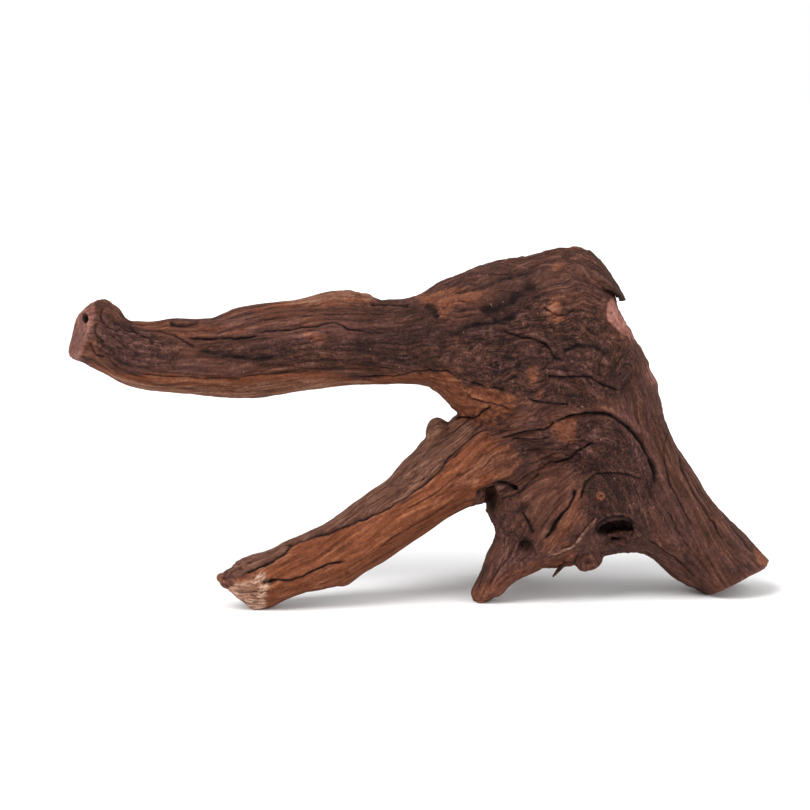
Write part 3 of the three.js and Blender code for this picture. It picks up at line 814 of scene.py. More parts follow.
    def flake(self, reach, lift, under):
        """A closed flake over the points with reach above 0: lift is its top, under its underside."""
        kept = (reach > 0)[self.quads].all(axis=1)
        quads = self.biggest_patch(self.quads[kept])
        used, packed = np.unique(quads, return_inverse=True)
        quads = packed.reshape(-1, 4).astype(np.int64)
        count = len(used)
        edges = np.vstack([quads[:, [k, (k + 1) % 4]] for k in range(4)])
        keys = edges[:, 0] * count + edges[:, 1]
        rim = edges[~np.isin(edges[:, 1] * count + edges[:, 0], keys)]
        walls = np.stack([rim[:, 1], rim[:, 0], rim[:, 0] + count, rim[:, 1] + count], axis=1)
        top = self.raised(lift)[used]
        bottom = self.raised(under)[used]
        points = np.vstack([top, bottom])
        faces = np.vstack([quads, quads[:, ::-1] + count, walls])
        fields = {k: np.tile(v[used], 2) for k, v in self.marks.items()}
        return points, faces, fields

    def biggest_patch(self, quads):
        """The largest connected patch of some of the quads."""
        label = np.arange(len(self.points))
        while True:
            least = label[quads].min(axis=1)
            lower = label.copy()
            np.minimum.at(lower, quads.ravel(), np.repeat(least, 4))
            lower = lower[lower]
            if (lower == label).all():
                break
            label = lower
        names, sizes = np.unique(label[quads[:, 0]], return_counts=True)
        return quads[label[quads[:, 0]] == names[sizes.argmax()]]

    def spot(self, across, up):
        """The point of the front skin at a place on the drawing, and the way it faces."""
        far = np.hypot(self.u - across, self.v - up) + np.where(self.facing > 0.05, 0, 1e3)
        close = np.flatnonzero(far < 1.2)
        if not len(close):
            close = np.array([far.argmin()])
        nearest = close[(self.points[close] @ SHEET_AWAY).argmin()]
        return self.skin_points[nearest], self.normals[nearest]

    def fields(self, points):
        """The values that the finishes read at each point."""
        fine, broad = self.hollowness(points)
        return {
            **self.finishes,
            "along": self.grain.main[:, 0],
            "across": self.grain.main[:, 1],
            "aside": self.grain.main[:, 2],
            "groove_shade": self.groove_shade,
            "streak": self.streak,
            # How hollow the skin is: the finish paints it as shade in hollows and as a highlight on ridges.
            "cavity_shade": np.clip(fine * 5, -1, 1) * 0.5 + np.clip(broad * 1.6, -1, 1) * 0.5,
        }


# --------------------------------------------------------------------- the finishes


class Finish:
    """A material made of nodes, with short ways to add them."""

    def __init__(self, name):
        self.material = bpy.data.materials.new(name)
        self.material.use_nodes = True
        self.tree = self.material.node_tree
        self.tree.nodes.clear()
        self.shader = self.add("ShaderNodeBsdfPrincipled")
        output = self.add("ShaderNodeOutputMaterial")
        self.tree.links.new(self.shader.outputs[0], output.inputs[0])
        self.place = self.add("ShaderNodeTexCoord").outputs["Object"]

    def add(self, kind, **settings):
        node = self.tree.nodes.new(kind)
        for key, value in settings.items():
            setattr(node, key, value)
        return node

    def feed(self, socket, value):
        if isinstance(value, bpy.types.NodeSocket):
            self.tree.links.new(value, socket)
        elif isinstance(value, (tuple, list)) and len(value) == 3 and socket.type == "RGBA":
            socket.default_value = (*value, 1)
        else:
            socket.default_value = value

    def field(self, name):
        return self.add("ShaderNodeAttribute", attribute_name=name).outputs["Fac"]

    def speckle(self, size_mm, detail=3.0, rough=0.55):
        """Noise in 0..1 with a wavelength in millimetres."""
        node = self.add("ShaderNodeTexNoise")
        self.feed(node.inputs["Scale"], 1000.0 / size_mm)
        self.feed(node.inputs["Detail"], detail)
        self.feed(node.inputs["Roughness"], rough)
        self.feed(node.inputs["Vector"], self.place)
        return node.outputs["Fac"]

    def fibre(self, along_mm, across_mm, detail=3.0, rough=0.6):
        """Noise in 0..1 drawn out along the grain."""
        place = self.add("ShaderNodeCombineXYZ")
        sizes = (("along", along_mm), ("across", across_mm), ("aside", across_mm))
        for socket, (name, size) in zip(place.inputs, sizes):
            self.feed(socket, self.sum(self.field(name), 1 / size, "MULTIPLY"))
        node = self.add("ShaderNodeTexNoise")
        self.feed(node.inputs["Scale"], 1.0)
        self.feed(node.inputs["Detail"], detail)
        self.feed(node.inputs["Roughness"], rough)
        self.feed(node.inputs["Vector"], place.outputs[0])
        return node.outputs["Fac"]

    def hairlines(self, noise, width):
        """Thin lines where a noise passes its middle, 1 on a line and 0 between."""
        off = self.sum(self.sum(noise, 0.5, "SUBTRACT"), 0.0, "ABSOLUTE")
        return self.scaled(off, 0.0, width, 1.0, 0.0)

    def specks(self, size_mm, radius, rarity):
        """Scattered grains, 1 on a grain: radius is a share of size_mm, rarity a share left out."""
        node = self.add("ShaderNodeTexVoronoi")
        self.feed(node.inputs["Scale"], 1000.0 / size_mm)
        self.feed(node.inputs["Vector"], self.place)
        parts = self.add("ShaderNodeSeparateColor")
        self.feed(parts.inputs[0], node.outputs["Color"])
        grain = self.sum(node.outputs["Distance"], radius, "LESS_THAN")
        return self.sum(grain, self.sum(parts.outputs[0], rarity, "GREATER_THAN"), "MULTIPLY")

    def sum(self, a, b, operation="ADD", clamp=False):
        node = self.add("ShaderNodeMath", operation=operation, use_clamp=clamp)
        self.feed(node.inputs[0], a)
        self.feed(node.inputs[1], b)
        return node.outputs[0]

    def scaled(self, value, low, high, to_low=0.0, to_high=1.0):
        node = self.add("ShaderNodeMapRange")
        for key, number in zip(("Value", "From Min", "From Max", "To Min", "To Max"),
                               (value, low, high, to_low, to_high)):
            self.feed(node.inputs[key], number)
        return node.outputs[0]

    def mix(self, share, a, b, blend="MIX"):
        node = self.add("ShaderNodeMix", data_type="RGBA", blend_type=blend)
        self.feed(node.inputs[0], share)
        self.feed(node.inputs[6], a)
        self.feed(node.inputs[7], b)
        return node.outputs[2]

    def ramp(self, share, colours, places=None):
        node = self.add("ShaderNodeValToRGB")
        places = places or [k / (len(colours) - 1) for k in range(len(colours))]
        stops = node.color_ramp.elements
        while len(stops) < len(colours):
            stops.new(0.5)
        for stop, place, colour in zip(stops, places, colours):
            stop.position = place
            stop.color = (*colour, 1)
        self.feed(node.inputs[0], share)
        return node.outputs[0]

    def finish(self, colour, rough, relief, relief_mm, specular):
        self.feed(self.shader.inputs["Base Color"], colour)
        self.feed(self.shader.inputs["Roughness"], rough)
        self.feed(self.shader.inputs["Specular IOR Level"], specular)
        height = self.add("ShaderNodeBump")
        self.feed(height.inputs["Strength"], 1.0)
        self.feed(height.inputs["Distance"], relief_mm * MM)
        self.feed(height.inputs["Height"], relief)
        self.tree.links.new(height.outputs[0], self.shader.inputs["Normal"])
        return self.material


WOOD = [(0.026, 0.011, 0.009), (0.060, 0.024, 0.019), (0.108, 0.044, 0.034), (0.190, 0.086, 0.064)]
WARM = [(0.028, 0.010, 0.006), (0.066, 0.024, 0.015), (0.118, 0.043, 0.026), (0.200, 0.080, 0.049)]
BARE = [(0.056, 0.016, 0.007), (0.122, 0.035, 0.014), (0.196, 0.060, 0.026), (0.305, 0.114, 0.056)]
ORANGE = [(0.095, 0.027, 0.013), (0.200, 0.067, 0.035), (0.330, 0.135, 0.075)]
GREY = [(0.038, 0.016, 0.010), (0.092, 0.038, 0.024), (0.148, 0.066, 0.042), (0.230, 0.114, 0.076)]
# The crust's lightest stop is greyed: a painted sheen on the lightest crust.
CRUST = [(0.010, 0.005, 0.004), (0.034, 0.013, 0.011), (0.074, 0.030, 0.025), (0.170, 0.080, 0.070)]
WARM_CRUST = [(0.012, 0.005, 0.004), (0.036, 0.014, 0.010), (0.082, 0.033, 0.023), (0.170, 0.074, 0.052)]
PALE = [(0.100, 0.038, 0.020), (0.350, 0.175, 0.112), (0.640, 0.430, 0.320)]
PINK = [(0.160, 0.054, 0.042), (0.295, 0.116, 0.092), (0.440, 0.215, 0.175)]
SHADOW = (0.008, 0.004, 0.004)
HAIR = (0.170, 0.085, 0.052)
DUST = (0.420, 0.250, 0.150)


def wood_finish(name):
    """Weathered root wood: every finish of the skin, told apart by its fields, with shade painted into its
    grooves, hollows and dark zones and a painted sheen on the lightest crust.
    """
    f = Finish(name)
    streak, cavity_shade, groove_shade = f.field("streak"), f.field("cavity_shade"), f.field("groove_shade")
    fine, coarse = f.speckle(1.5, 5, 0.7), f.speckle(11.0, 4, 0.6)
    grit = f.speckle(0.8, 3, 0.6)

    tone = f.sum(f.scaled(streak, -0.6, 0.6, 0.12, 0.88), f.scaled(coarse, 0.3, 0.7, -0.16, 0.16))
    fibre = f.fibre(12.0, 0.7, 5, 0.65)
    tone = f.sum(tone, f.scaled(fine, 0.3, 0.7, -0.18, 0.18))
    tone = f.sum(tone, f.scaled(fibre, 0.3, 0.7, -0.17, 0.17))
    # lit: the tone made darker in hollows and lighter on ridges, a painted shade and painted highlight that
    # every palette below is read through.
    lit = f.sum(tone, f.scaled(cavity_shade, -1, 1, 0.45, -0.45), clamp=True)
    warm, dark = f.field("warm"), f.field("dark")
    colour = f.mix(warm, f.ramp(lit, WOOD), f.ramp(lit, WARM))
    for finish, palette in (("bare", BARE), ("grey_and_sheen", GREY), ("orange", ORANGE), ("pink", PINK),
                            ("pale", PALE)):
        colour = f.mix(f.field(finish), colour, f.ramp(lit, palette))
    clumps = f.speckle(3.4, 4, 0.65)
    # The crust's tone: grit, clumps, fibres and coarse noise over lit, so it carries lit's painted shade and
    # highlight.
    crust_tone_and_shade = f.sum(f.scaled(grit, 0.3, 0.75, -0.22, 0.30), f.scaled(lit, 0, 1, 0.0, 0.80))
    crust_tone_and_shade = f.sum(crust_tone_and_shade, f.scaled(clumps, 0.32, 0.68, -0.13, 0.13))
    crust_tone_and_shade = f.sum(crust_tone_and_shade, f.scaled(fibre, 0.3, 0.7, -0.12, 0.12))
    crust_tone_and_shade = f.sum(crust_tone_and_shade, f.scaled(coarse, 0.35, 0.65, -0.14, 0.14))
    crusty = f.sum(f.field("crust"), f.scaled(fine, 0.3, 0.7, 0.15, -0.15), clamp=True)
    crust_colour = f.mix(warm, f.ramp(crust_tone_and_shade, CRUST), f.ramp(crust_tone_and_shade, WARM_CRUST))
    hairs = f.sum(f.hairlines(f.speckle(2.6, 1.0), 0.02), 0.4, "MULTIPLY")
    crust_colour = f.mix(hairs, crust_colour, HAIR)
    colour = f.mix(crusty, colour, crust_colour)
    # The dark zones pull the colour towards SHADOW, broken up by fine noise; in hollows, the cave and troughs
    # this is painted shade.
    uneven = f.scaled(fine, 0.35, 0.65, 0.75, 0.50)
    colour = f.mix(f.sum(dark, uneven, "MULTIPLY"), colour, SHADOW)
    checks = f.hairlines(f.fibre(26.0, 2.4, 2), 0.016)
    checks = f.sum(checks, f.scaled(coarse, 0.40, 0.60, 0.0, 0.7), "MULTIPLY")
    # Painted shade in the grooves and hollows, together with the hairline checks as dark lines, mixed towards
    # SHADOW.
    deep = f.sum(groove_shade, f.scaled(cavity_shade, 0.2, 1.0, 0, 0.6), clamp=True)
    deep = f.sum(deep, checks, "MAXIMUM")
    colour = f.mix(deep, colour, SHADOW)
    colour = f.mix(f.specks(2.4, 0.10, 0.965), colour, DUST)
    rough = f.scaled(fine, 0.3, 0.7, 0.70, 0.92)
    relief = f.sum(f.sum(fine, 0.6, "MULTIPLY"), f.sum(grit, 0.6, "MULTIPLY"))
    relief = f.sum(relief, f.sum(fibre, 0.7, "MULTIPLY"))
    relief = f.sum(relief, f.sum(checks, 0.5, "MULTIPLY"), "SUBTRACT")
    return f.finish(colour, rough, relief, 1.0, 0.12)


# ----------------------------------------------------------------------- the pieces

_made = {}


def skin():
    """The wood's surface, worked out once."""
    if "skin" not in _made:
        size = bpy.context.scene.driftwood_wood
        spacing = size.spacing
        _made["skin"] = Surface(spacing / MM, size.rounding / MM)
        _made["wood_finish"] = wood_finish("root wood")
    return _made["skin"]


def settle(piece, slot, finish, *nodes):
    """Gives a piece its finish and ties it to the frame."""
    piece.data.materials.append(finish)
    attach(piece, BODY)
    if nodes:
        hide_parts(*nodes)
    return piece


class DriftwoodWood(bpy.types.PropertyGroup):
    """Sizes of the root wood's surface."""

    spacing: FloatProperty(name="Spacing", description="Distance between points of the skin",
                           default=0.6 * MM, unit="LENGTH", precision=5)
    quick_spacing: FloatProperty(name="Quick spacing", description="The same, for a quick look",
                                 default=1.0 * MM, unit="LENGTH", precision=5)
    rounding: FloatProperty(name="Rounding", description="How far the limbs flow into each other",
                            default=4.2 * MM, unit="LENGTH", precision=5)


class DRIFTWOOD_OT_root_wood(bpy.types.Operator):
    """Adds the root wood with its grain, cracks, creases and hollows"""

    bl_idname = "driftwood.root_wood"
    bl_label = "Root wood"

    def execute(self, context):
        surface = skin()
        wood = new_mesh("root_wood_skin", surface.skin_points, surface.quads, surface.marks)
        settle(wood, "root_wood", _made["wood_finish"], "root_wood")
        return {"FINISHED"}


# Crust plates: the CAD outline they follow, as (x, z) in millimetres, then the front
# and back limits in y, how far the plate stands proud, and the record's finish.
PLATES = {
    "hook_bark": ([(-163.5, 141), (-153.5, 138), (-139.5, 135), (-123.5, 133), (-117.5, 128),
                   (-125.5, 121), (-141.5, 118), (-153.5, 121), (-161.5, 129)], -70, -19, 0.5, "crust"),
    "upper_limb_bark": ([(-112.5, 130), (-91.5, 133), (-63.5, 131), (-46.5, 134), (-29.5, 130),
                         (-13.5, 132), (-8.5, 124), (-21.5, 118), (-46.5, 117), (-71.5, 119),
                         (-96.5, 121), (-109.5, 124)], -70, -11, 0.5, "crust"),
    "crown_top_bark": ([(-1.5, 153.5), (12.5, 157), (28.5, 164), (50.5, 170), (54.5, 190),
                        (-7.5, 190)], -29, 19, 0.55, "crust"),
    "crown_bark": ([(10.5, 146), (28.5, 141), (44.5, 151), (58.5, 166), (72.5, 170), (79.5, 160),
                    (91.5, 147), (97.5, 132), (102.5, 118), (86.5, 112), (66.5, 116),
                    (48.5, 112), (28.5, 110), (18.5, 120)], -70, -13, 0.5, "crust"),
    "belly_bark": ([(78.5, 90), (93.5, 95), (105.5, 89), (111.5, 76), (113.5, 62), (110.5, 50),
                    (96.5, 49), (84.5, 50), (78.5, 60), (75.5, 74)], -70, -15, 0.45, "crust"),
    "right_leg_bark": ([(111.5, 108), (119.5, 94), (127.5, 76), (139.5, 57), (151.5, 40),
                        (145.5, 31), (133.5, 38), (122.5, 54), (117.5, 72), (110.5, 92)],
                       -70, -3, 0.4, "crust"),
    "lower_limb_bark": ([(-93.5, 17.5), (-82.5, 19), (-70.5, 25), (-63.5, 32), (-44.5, 39),
                         (-29.5, 45), (-10.5, 54.5), (-0.5, 61), (7.5, 68), (12.5, 75),
                         (19.5, 83), (1.5, 83.5), (-17.5, 70), (-41.5, 56), (-71.5, 40),
                         (-93.5, 30)], -70, -5, 0.4, "fibrous_bark"),
    "rear_bark": ([(16.5, 118), (32.5, 150), (60.5, 160), (86.5, 150), (96.5, 122), (90.5, 96),
                   (64.5, 88), (34.5, 98)], 1, 60, 0.7, "crust"),
}
BURIED = 0.6          # how deep a plate's edge lies under the skin around it
PLATE_UNDER = -1.5    # the underside of a plate

FLAP = [(76.5, 192), (102.5, 184), (108, 160), (104.5, 151), (95, 151.5), (88.5, 156), (81.5, 166)]
FLAP_DEPTHS = (-33.0, 15.0)
FLAP_ROOT = np.array((82.0, 174.0))     # where the flap grows out of the crown, (x, z)
FLAP_TIP = np.array((98.0, 154.0))


def plate_reach(surface, outline, front, back):
    """How far inside a plate's outline and depth limits each point of the skin is."""
    x, y, z = surface.points.T
    reach = inside(x, z, outline)
    reach = np.minimum(reach, np.minimum(y - front, back - y))
    return reach + 1.3 * surface.wobble + 0.9 * surface.crumbs


class DRIFTWOOD_OT_bark(bpy.types.Operator):
    """Adds the plates of crust and the fibrous strip that still cover the wood"""

    bl_idname = "driftwood.bark"
    bl_label = "Crust plates"

    def execute(self, context):
        surface = skin()
        for node, (outline, front, back, proud, slot) in PLATES.items():
            reach = plate_reach(surface, outline, front, back)
            lift = -BURIED + (proud + BURIED) * step(0, 1.6, reach)
            points, faces, fields = surface.flake(reach, lift, PLATE_UNDER)
            plate = new_mesh(node + "_plate", points, faces, fields)
            settle(plate, slot, _made["wood_finish"], node)
        return {"FINISHED"}


class DRIFTWOOD_OT_flap(bpy.types.Operator):
    """Adds the dark flake that has lifted off the crown"""

    bl_idname = "driftwood.flap"
    bl_label = "Lifted flap"

    def execute(self, context):
        surface = skin()
        reach = plate_reach(surface, FLAP, *FLAP_DEPTHS)
        way = (FLAP_TIP - FLAP_ROOT) / np.linalg.norm(FLAP_TIP - FLAP_ROOT)
        outward = (surface.points[:, [0, 2]] - FLAP_ROOT) @ way
        free = step(2, 24, outward)
        top = 0.5 + 3.0 * free
        lift = -BURIED + (top + BURIED) * np.maximum(step(0, 1.6, reach), step(0.35, 0.7, free))
        under = np.where(free > 0.35, np.minimum(lift - 0.9, top - 1.6), PLATE_UNDER)
        points, faces, fields = surface.flake(reach, lift, under)
        spread = step(6, 30, (points[:, [0, 2]] - FLAP_ROOT) @ way)
        points[:, [0, 2]] += 2.6 * spread[:, None] * way
        fields["crust"] = np.maximum(fields["crust"], 0.8)
        fields["pink"] = 0 * fields["pink"]
        flap = new_mesh("crown_flap_flake", points, faces, fields)
        settle(flap, "crust", _made["wood_finish"], "crown_flap")
        return {"FINISHED"}


def tube(path, radii, sides=10, rough=0.18, seed=0):
    """A closed tapering tube with a fibrous, uneven section, as points and quads."""
    run = smooth_run(path, 6)
    radii = np.interp(np.linspace(0, 1, len(run)), np.linspace(0, 1, len(radii)), radii)
    ahead = np.gradient(run, axis=0)
    ahead /= np.linalg.norm(ahead, axis=1)[:, None]
    side = np.cross(ahead, (0.3, -0.9, 0.31))
    side /= np.linalg.norm(side, axis=1)[:, None]
    other = np.cross(ahead, side)
    angles = np.linspace(0, 2 * np.pi, sides, endpoint=False)
    ribs = 1 + rough * np.random.default_rng(seed).uniform(-1, 1, (1, sides))
    rings = run[:, None] + radii[:, None, None] * ribs[..., None] * (
        np.cos(angles)[None, :, None] * side[:, None] + np.sin(angles)[None, :, None] * other[:, None]
    )
    count = len(run)
    points = [rings.reshape(-1, 3)]
    k = np.arange(sides)
    quads = [
        np.stack([r * sides + k, r * sides + (k + 1) % sides,
                  (r + 1) * sides + (k + 1) % sides, (r + 1) * sides + k], axis=1)
        for r in range(count - 1)
    ]
    for ring, first in ((0, True), (count - 1, False)):
        inner = run[ring] + (rings[ring] - run[ring]) * 0.35
        start = sum(len(part) for part in points)
        points.append(inner)
        quads.append(np.stack([ring * sides + k, start + k, start + (k + 1) % sides,
                               ring * sides + (k + 1) % sides], axis=1)[:, ::1 if first else -1])
        half = sides // 2
        quads += [
            np.array([[start + j, start + sides - 1 - j, start + sides - 2 - j, start + j + 1]])[
                :, ::1 if first else -1]
            for j in range(half - 1)
        ]
    return np.vstack(points), np.vstack(quads)


def gathered(parts):
    """Several tubes as one mesh's points and quads."""
    points, quads, start = [], [], 0
    for part_points, part_quads in parts:
        points.append(part_points)
        quads.append(part_quads + start)
        start += len(part_points)
    return np.vstack(points), np.vstack(quads)


def strand_fields(points, **held):
    """Fields for a loose strand: a streak along it and the finishes named."""
    streak = noise(points, (4, 1.2, 1.2), 3)
    return {"streak": streak, **{name: np.full(len(points), value) for name, value in held.items()}}


SPLINTER = [(64.6, -21.4, 13.2), (66.6, -21.2, 15.6), (68.6, -20.8, 18.0), (70.8, -20.0, 20.0),
            (72.6, -19, 21.6)]
# The rootlet lies on the skin along this line of the drawing.
ROOTLET = [(64, 25), (70, 27.4), (76, 29.6), (79.4, 32.6), (82.4, 36.6), (86, 40.4), (88.4, 43.4)]


class DRIFTWOOD_OT_strands(bpy.types.Operator):
    """Adds the thin splinter under the belly and the pale rootlet beside the cave"""

    bl_idname = "driftwood.strands"
    bl_label = "Splinter and rootlet"

    def execute(self, context):
        rootlet = [at + 0.35 * facing for at, facing in (skin().spot(*spot) for spot in ROOTLET)]
        for name, node, path, radii, held in (
            ("splinter", "belly_splinter", SPLINTER, (0.5, 1.1, 1.4, 1.2), {"bare": 0.6, "dark": 0.4}),
            ("rootlet", "hollow_rootlet", rootlet, (0.3, 0.8, 0.6, 0.9, 0.7, 0.9, 0.35), {"pale": 0.4}),
        ):
            points, quads = tube(path, radii, 14, seed=len(name))
            points = points + 0.22 * noise(points, 1.6, 8)[:, None]
            piece = new_mesh(name, points, quads, strand_fields(points, **held))
            settle(piece, "strand", _made["wood_finish"], node)
        return {"FINISHED"}


KNOT_AT = (89.5, 56.2)
KNOT_RADIUS = 2.5


class DRIFTWOOD_OT_knot(bpy.types.Operator):
    """Adds the small orange pin knot"""

    bl_idname = "driftwood.knot"
    bl_label = "Pin knot"

    def execute(self, context):
        at, facing = skin().spot(*KNOT_AT)
        turns, rings = 48, 16
        angles = np.linspace(0, 2 * np.pi, turns, endpoint=False)
        side = np.cross(facing, (0, 0, 1.0))
        side /= np.linalg.norm(side)
        other = np.cross(facing, side)
        rows = []
        ragged = 1 + 0.10 * np.sin(3 * angles + 1) + 0.08 * np.sin(7 * angles)
        ragged += 0.05 * np.sin(11 * angles + 2)
        for k in range(rings + 1):
            share = (k + 0.4) / (rings + 0.4)
            radius = KNOT_RADIUS * share * (1 + share * (ragged - 1))
            high = 0.55 - 1.0 * (share - 0.45) ** 2
            rows.append(at + high * facing + radius[:, None] * (
                np.cos(angles)[:, None] * side + np.sin(angles)[:, None] * other))
        foot = rows[-1] - 2.6 * facing
        sunk = rows[0] - 3.0 * facing
        points = np.vstack([*rows, foot, sunk])
        k = np.arange(turns)
        quads = [
            np.stack([r * turns + k, (r + 1) * turns + k, (r + 1) * turns + (k + 1) % turns,
                      r * turns + (k + 1) % turns], axis=1)
            for r in range(rings + 2)
        ]
        for ring, way in ((0, 1), (rings + 2, -1)):
            start = ring * turns
            quads += [
                np.array([[start + j, start + j + 1, start + turns - 2 - j, start + turns - 1 - j]])[:, ::way]
                for j in range(turns // 2 - 1)
            ]
        points = points + 0.18 * layered(points, 1.6, 2, 5)[:, None] * facing
        reach = np.linalg.norm(points - at, axis=1) / KNOT_RADIUS
        fields = {
            "orange": step(1.15, 0.75, reach),
            "crust": step(0.7, 1.15, reach),
            "streak": 0.6 * noise(points, 0.9, 6),
            "dark": 0.25 * step(0.35, 0.05, reach),
        }
        knot = new_mesh("round_pin_knot", points, np.vstack(quads), fields)
        settle(knot, "knot", _made["wood_finish"], "pin_knot")
        return {"FINISHED"}


# Where loose fibres stand on the front: (across, up) on the drawing.
FIBRE_SPOTS = [
    (-92, 128.5), (-91, 127), (-24, 150.6), (-22, 150.2), (-20, 150.4), (33, 153), (34, 152.4),
    (27, 124.6), (30, 123.4), (84, 149), (85, 147.6), (84.6, 143.6), (64, 120.4), (63, 116),
    (65, 116.4), (86, 109.6), (86.6, 108.6), (95, 108.4), (51.6, 104.4), (52.4, 103.6), (72, 99),
    (110, 75.6), (111, 74.8), (88, 74.2), (48.6, 74.6), (120, 64.4), (118, 62.6), (80, 70),
    (123, 48), (122, 45.6), (111, 33.4), (108.6, 34.2), (117, 36), (144, 17.6), (150.6, 46),
    (139, 57), (16, 71), (13, 70.4), (-1, 74.6), (-3, 73), (-37, 33.6), (79.4, 123.6), (101, 64),
    (57, 147), (44, 161.6), (28, 147), (-80, 132.4), (-48, 121), (66.4, 89.8), (25, 109),
]


class DRIFTWOOD_OT_fibres(bpy.types.Operator):
    """Adds fine pale fibres that stand off the crust"""

    bl_idname = "driftwood.fibres"
    bl_label = "Loose fibres"

    def execute(self, context):
        surface = skin()
        chance = np.random.default_rng(21)
        starts = [surface.spot(*spot) for spot in FIBRE_SPOTS]
        behind = np.flatnonzero((surface.normals @ SHEET_AWAY > 0.1) & (surface.points[:, 2] > 15))
        starts += [(surface.skin_points[k], surface.normals[k]) for k in chance.choice(behind, 40, False)]
        parts = []
        for at, facing in starts:
            way = np.cross(facing, chance.normal(size=3))
            way /= np.linalg.norm(way)
            bend = np.cross(facing, way) * chance.uniform(-0.5, 0.5)
            length = chance.uniform(1.2, 3.2)
            path = [
                at - 0.3 * facing + length * (t * way + t * t * bend) + facing * 1.6 * t * (1.2 - t)
                for t in np.linspace(0, 1, 5)
            ]
            parts.append(tube(path, (0.13, 0.12, 0.05), 6, 0.1, seed=len(parts)))
        points, quads = gathered(parts)
        fibres = new_mesh("loose_fibres", points, quads, strand_fields(points, pale=0.85))
        settle(fibres, "strand", _made["wood_finish"])
        return {"FINISHED"}


TIP_WAY = np.array((-0.90, -0.28, -0.10))


class DRIFTWOOD_OT_tip(bpy.types.Operator):
    """Adds the splinters of the lower limb's broken tip"""

    bl_idname = "driftwood.tip"
    bl_label = "Broken tip"

    def execute(self, context):
        surface = skin()
        chance = np.random.default_rng(5)
        torn = np.flatnonzero(surface.marks["pale"] > 0.45)
        parts = []
        for k in chance.choice(torn, 46, False):
            facing = surface.normals[k]
            way = TIP_WAY + 0.35 * facing + chance.normal(0, 0.12, 3)
            way /= np.linalg.norm(way)
            length = chance.uniform(1.2, 2.8)
            start = surface.skin_points[k] - 1.0 * facing - 1.5 * way
            path = [start + way * length * t + facing * 0.5 * t for t in (0, 0.35, 0.7, 1)]
            parts.append(tube(path, (0.45, 0.42, 0.3, 0.08), 6, 0.3, seed=len(parts)))
        points, quads = gathered(parts)
        points[:, 2] = np.maximum(points[:, 2], 0.05)
        held = {"pale": 0.9, "bare": 0.5}
        splinters = new_mesh("tip_splinters", points, quads, strand_fields(points, **held))
        settle(splinters, "strand", _made["wood_finish"])
        return {"FINISHED"}


class DRIFTWOOD_OT_stage(bpy.types.Operator):
    """Adds the camera, the pale floor and the soft studio light"""

    bl_idname = "driftwood.stage"
    bl_label = "Stage"

    def execute(self, context):
        scene = context.scene
        look = scene.driftwood_stage
        self.add_camera(scene, look)
        self.add_floor(look)
        self.add_sky(scene, look)
        self.add_sun("key", (-0.9, -1.1, 1.5), 34, look.key_light)
        self.add_sun("fill", (1.4, -0.9, 1.2), 50, look.fill_light)
        scene.view_settings.view_transform = "Standard"
        return {"FINISHED"}

    def add_sky(self, scene, look):
        """Even white light from the walls of the studio, dimmer overhead."""
        world = bpy.data.worlds.new("studio")
        world.use_nodes = True
        tree = world.node_tree
        place = tree.nodes.new("ShaderNodeTexCoord")
        parts = tree.nodes.new("ShaderNodeSeparateXYZ")
        ramp = tree.nodes.new("ShaderNodeValToRGB")
        tree.links.new(place.outputs["Generated"], parts.inputs[0])
        tree.links.new(parts.outputs["Z"], ramp.inputs[0])
        wall, top = ramp.color_ramp.elements
        wall.position, wall.color = 0.45, (*look.sky, 1)
        top.position, top.color = 0.8, (*(look.overhead * c for c in look.sky), 1)
        tree.links.new(ramp.outputs[0], tree.nodes["Background"].inputs[0])
        scene.world = world

    def add_camera(self, scene, look):
        lens = bpy.data.cameras.new("camera")
        lens.sensor_width = 36.0
        lens.lens = look.lens
        camera = bpy.data.objects.new("camera", lens)
        scene.collection.objects.link(camera)
        camera.location = (SHEET_AT - SHEET_AWAY * SHEET_DISTANCE) * MM + EYE_SHIFT * MM
        camera.rotation_euler = (math.pi / 2 - SHEET_LEAN, 0, 0)
        scene.camera = camera

    def add_floor(self, look):
        side = look.floor_size / 2 / MM
        corners = np.array([(-side, -side, 0), (side, -side, 0), (side, side, 0), (-side, side, 0)], float)
        floor = new_mesh("floor", corners, np.array([[0, 1, 2, 3]]))
        f = Finish("pale floor")
        tint = f.ramp(f.speckle(400, 2), [tuple(0.97 * c for c in look.floor), tuple(look.floor)])
        f.feed(f.shader.inputs["Base Color"], tint)
        f.feed(f.shader.inputs["Roughness"], 0.9)
        f.feed(f.shader.inputs["Specular IOR Level"], 0.1)
        floor.data.materials.append(f.material)

    def add_sun(self, name, at, softness, strength):
        """An even, soft light from far away in the direction of at."""
        lamp = bpy.data.lights.new(name, "SUN")
        lamp.angle = math.radians(softness)
        lamp.energy = strength
        light = bpy.data.objects.new(name, lamp)
        bpy.context.scene.collection.objects.link(light)
        light.location = at
        flat = math.hypot(at[0], at[1])
        light.rotation_euler = (math.atan2(flat, at[2]), 0, math.atan2(-at[1], -at[0]) - math.pi / 2)


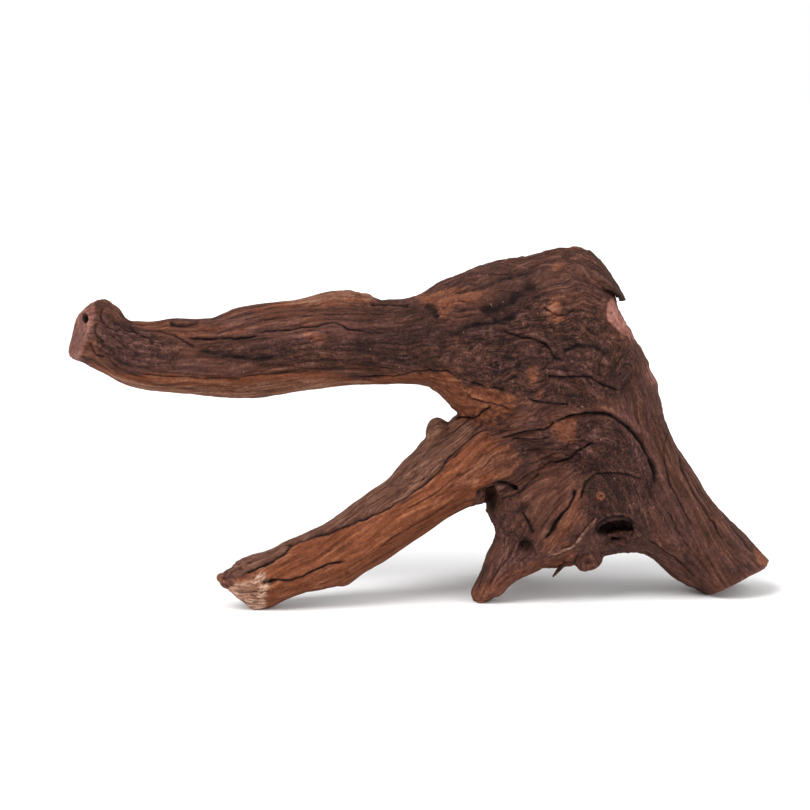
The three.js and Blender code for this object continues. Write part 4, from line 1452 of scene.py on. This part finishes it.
class DriftwoodStage(bpy.types.PropertyGroup):
    """Camera, floor and light."""

    lens: FloatProperty(name="Lens", description="Focal length in millimetres", default=124.4)
    floor_size: FloatProperty(name="Floor size", description="Side of the floor", default=14.0,
                              unit="LENGTH")
    floor: FloatVectorProperty(name="Floor colour", description="Colour of the floor", subtype="COLOR",
                               default=(0.92, 0.92, 0.92))
    sky: FloatVectorProperty(name="Sky colour", description="Even light all round", subtype="COLOR",
                             default=(1.0, 1.0, 1.0))
    overhead: FloatProperty(name="Overhead", description="How bright the sky is overhead",
                            default=0.45)
    key_light: FloatProperty(name="Key light", description="Strength of the light from upper left",
                             default=2.7)
    fill_light: FloatProperty(name="Fill light", description="Strength of the light from the right",
                              default=1.2)


class DRIFTWOOD_PT_pieces(bpy.types.Panel):
    """Lists the driftwood's pieces and the stage"""

    bl_label = "Driftwood"
    bl_idname = "DRIFTWOOD_PT_pieces"
    bl_space_type = "VIEW_3D"
    bl_region_type = "UI"
    bl_category = "Driftwood"

    def draw(self, context):
        for operator in OPERATORS:
            self.layout.operator(operator.bl_idname)
        for group in (context.scene.driftwood_wood, context.scene.driftwood_stage):
            box = self.layout.box()
            for name in group.__annotations__:
                box.prop(group, name)


OPERATORS = (
    DRIFTWOOD_OT_stage,
    DRIFTWOOD_OT_root_wood,
    DRIFTWOOD_OT_bark,
    DRIFTWOOD_OT_flap,
    DRIFTWOOD_OT_knot,
    DRIFTWOOD_OT_strands,
    DRIFTWOOD_OT_fibres,
    DRIFTWOOD_OT_tip,
)
CLASSES = (DriftwoodWood, DriftwoodStage, *OPERATORS, DRIFTWOOD_PT_pieces)


def register():
    for cls in CLASSES:
        bpy.utils.register_class(cls)
    bpy.types.Scene.driftwood_wood = PointerProperty(type=DriftwoodWood)
    bpy.types.Scene.driftwood_stage = PointerProperty(type=DriftwoodStage)


def unregister():
    del bpy.types.Scene.driftwood_wood
    del bpy.types.Scene.driftwood_stage
    for cls in reversed(CLASSES):
        bpy.utils.unregister_class(cls)


def main():
    register()
    for operator in OPERATORS:
        group, name = operator.bl_idname.split(".")
        getattr(getattr(bpy.ops, group), name)()


if __name__ == "__main__":
    main()
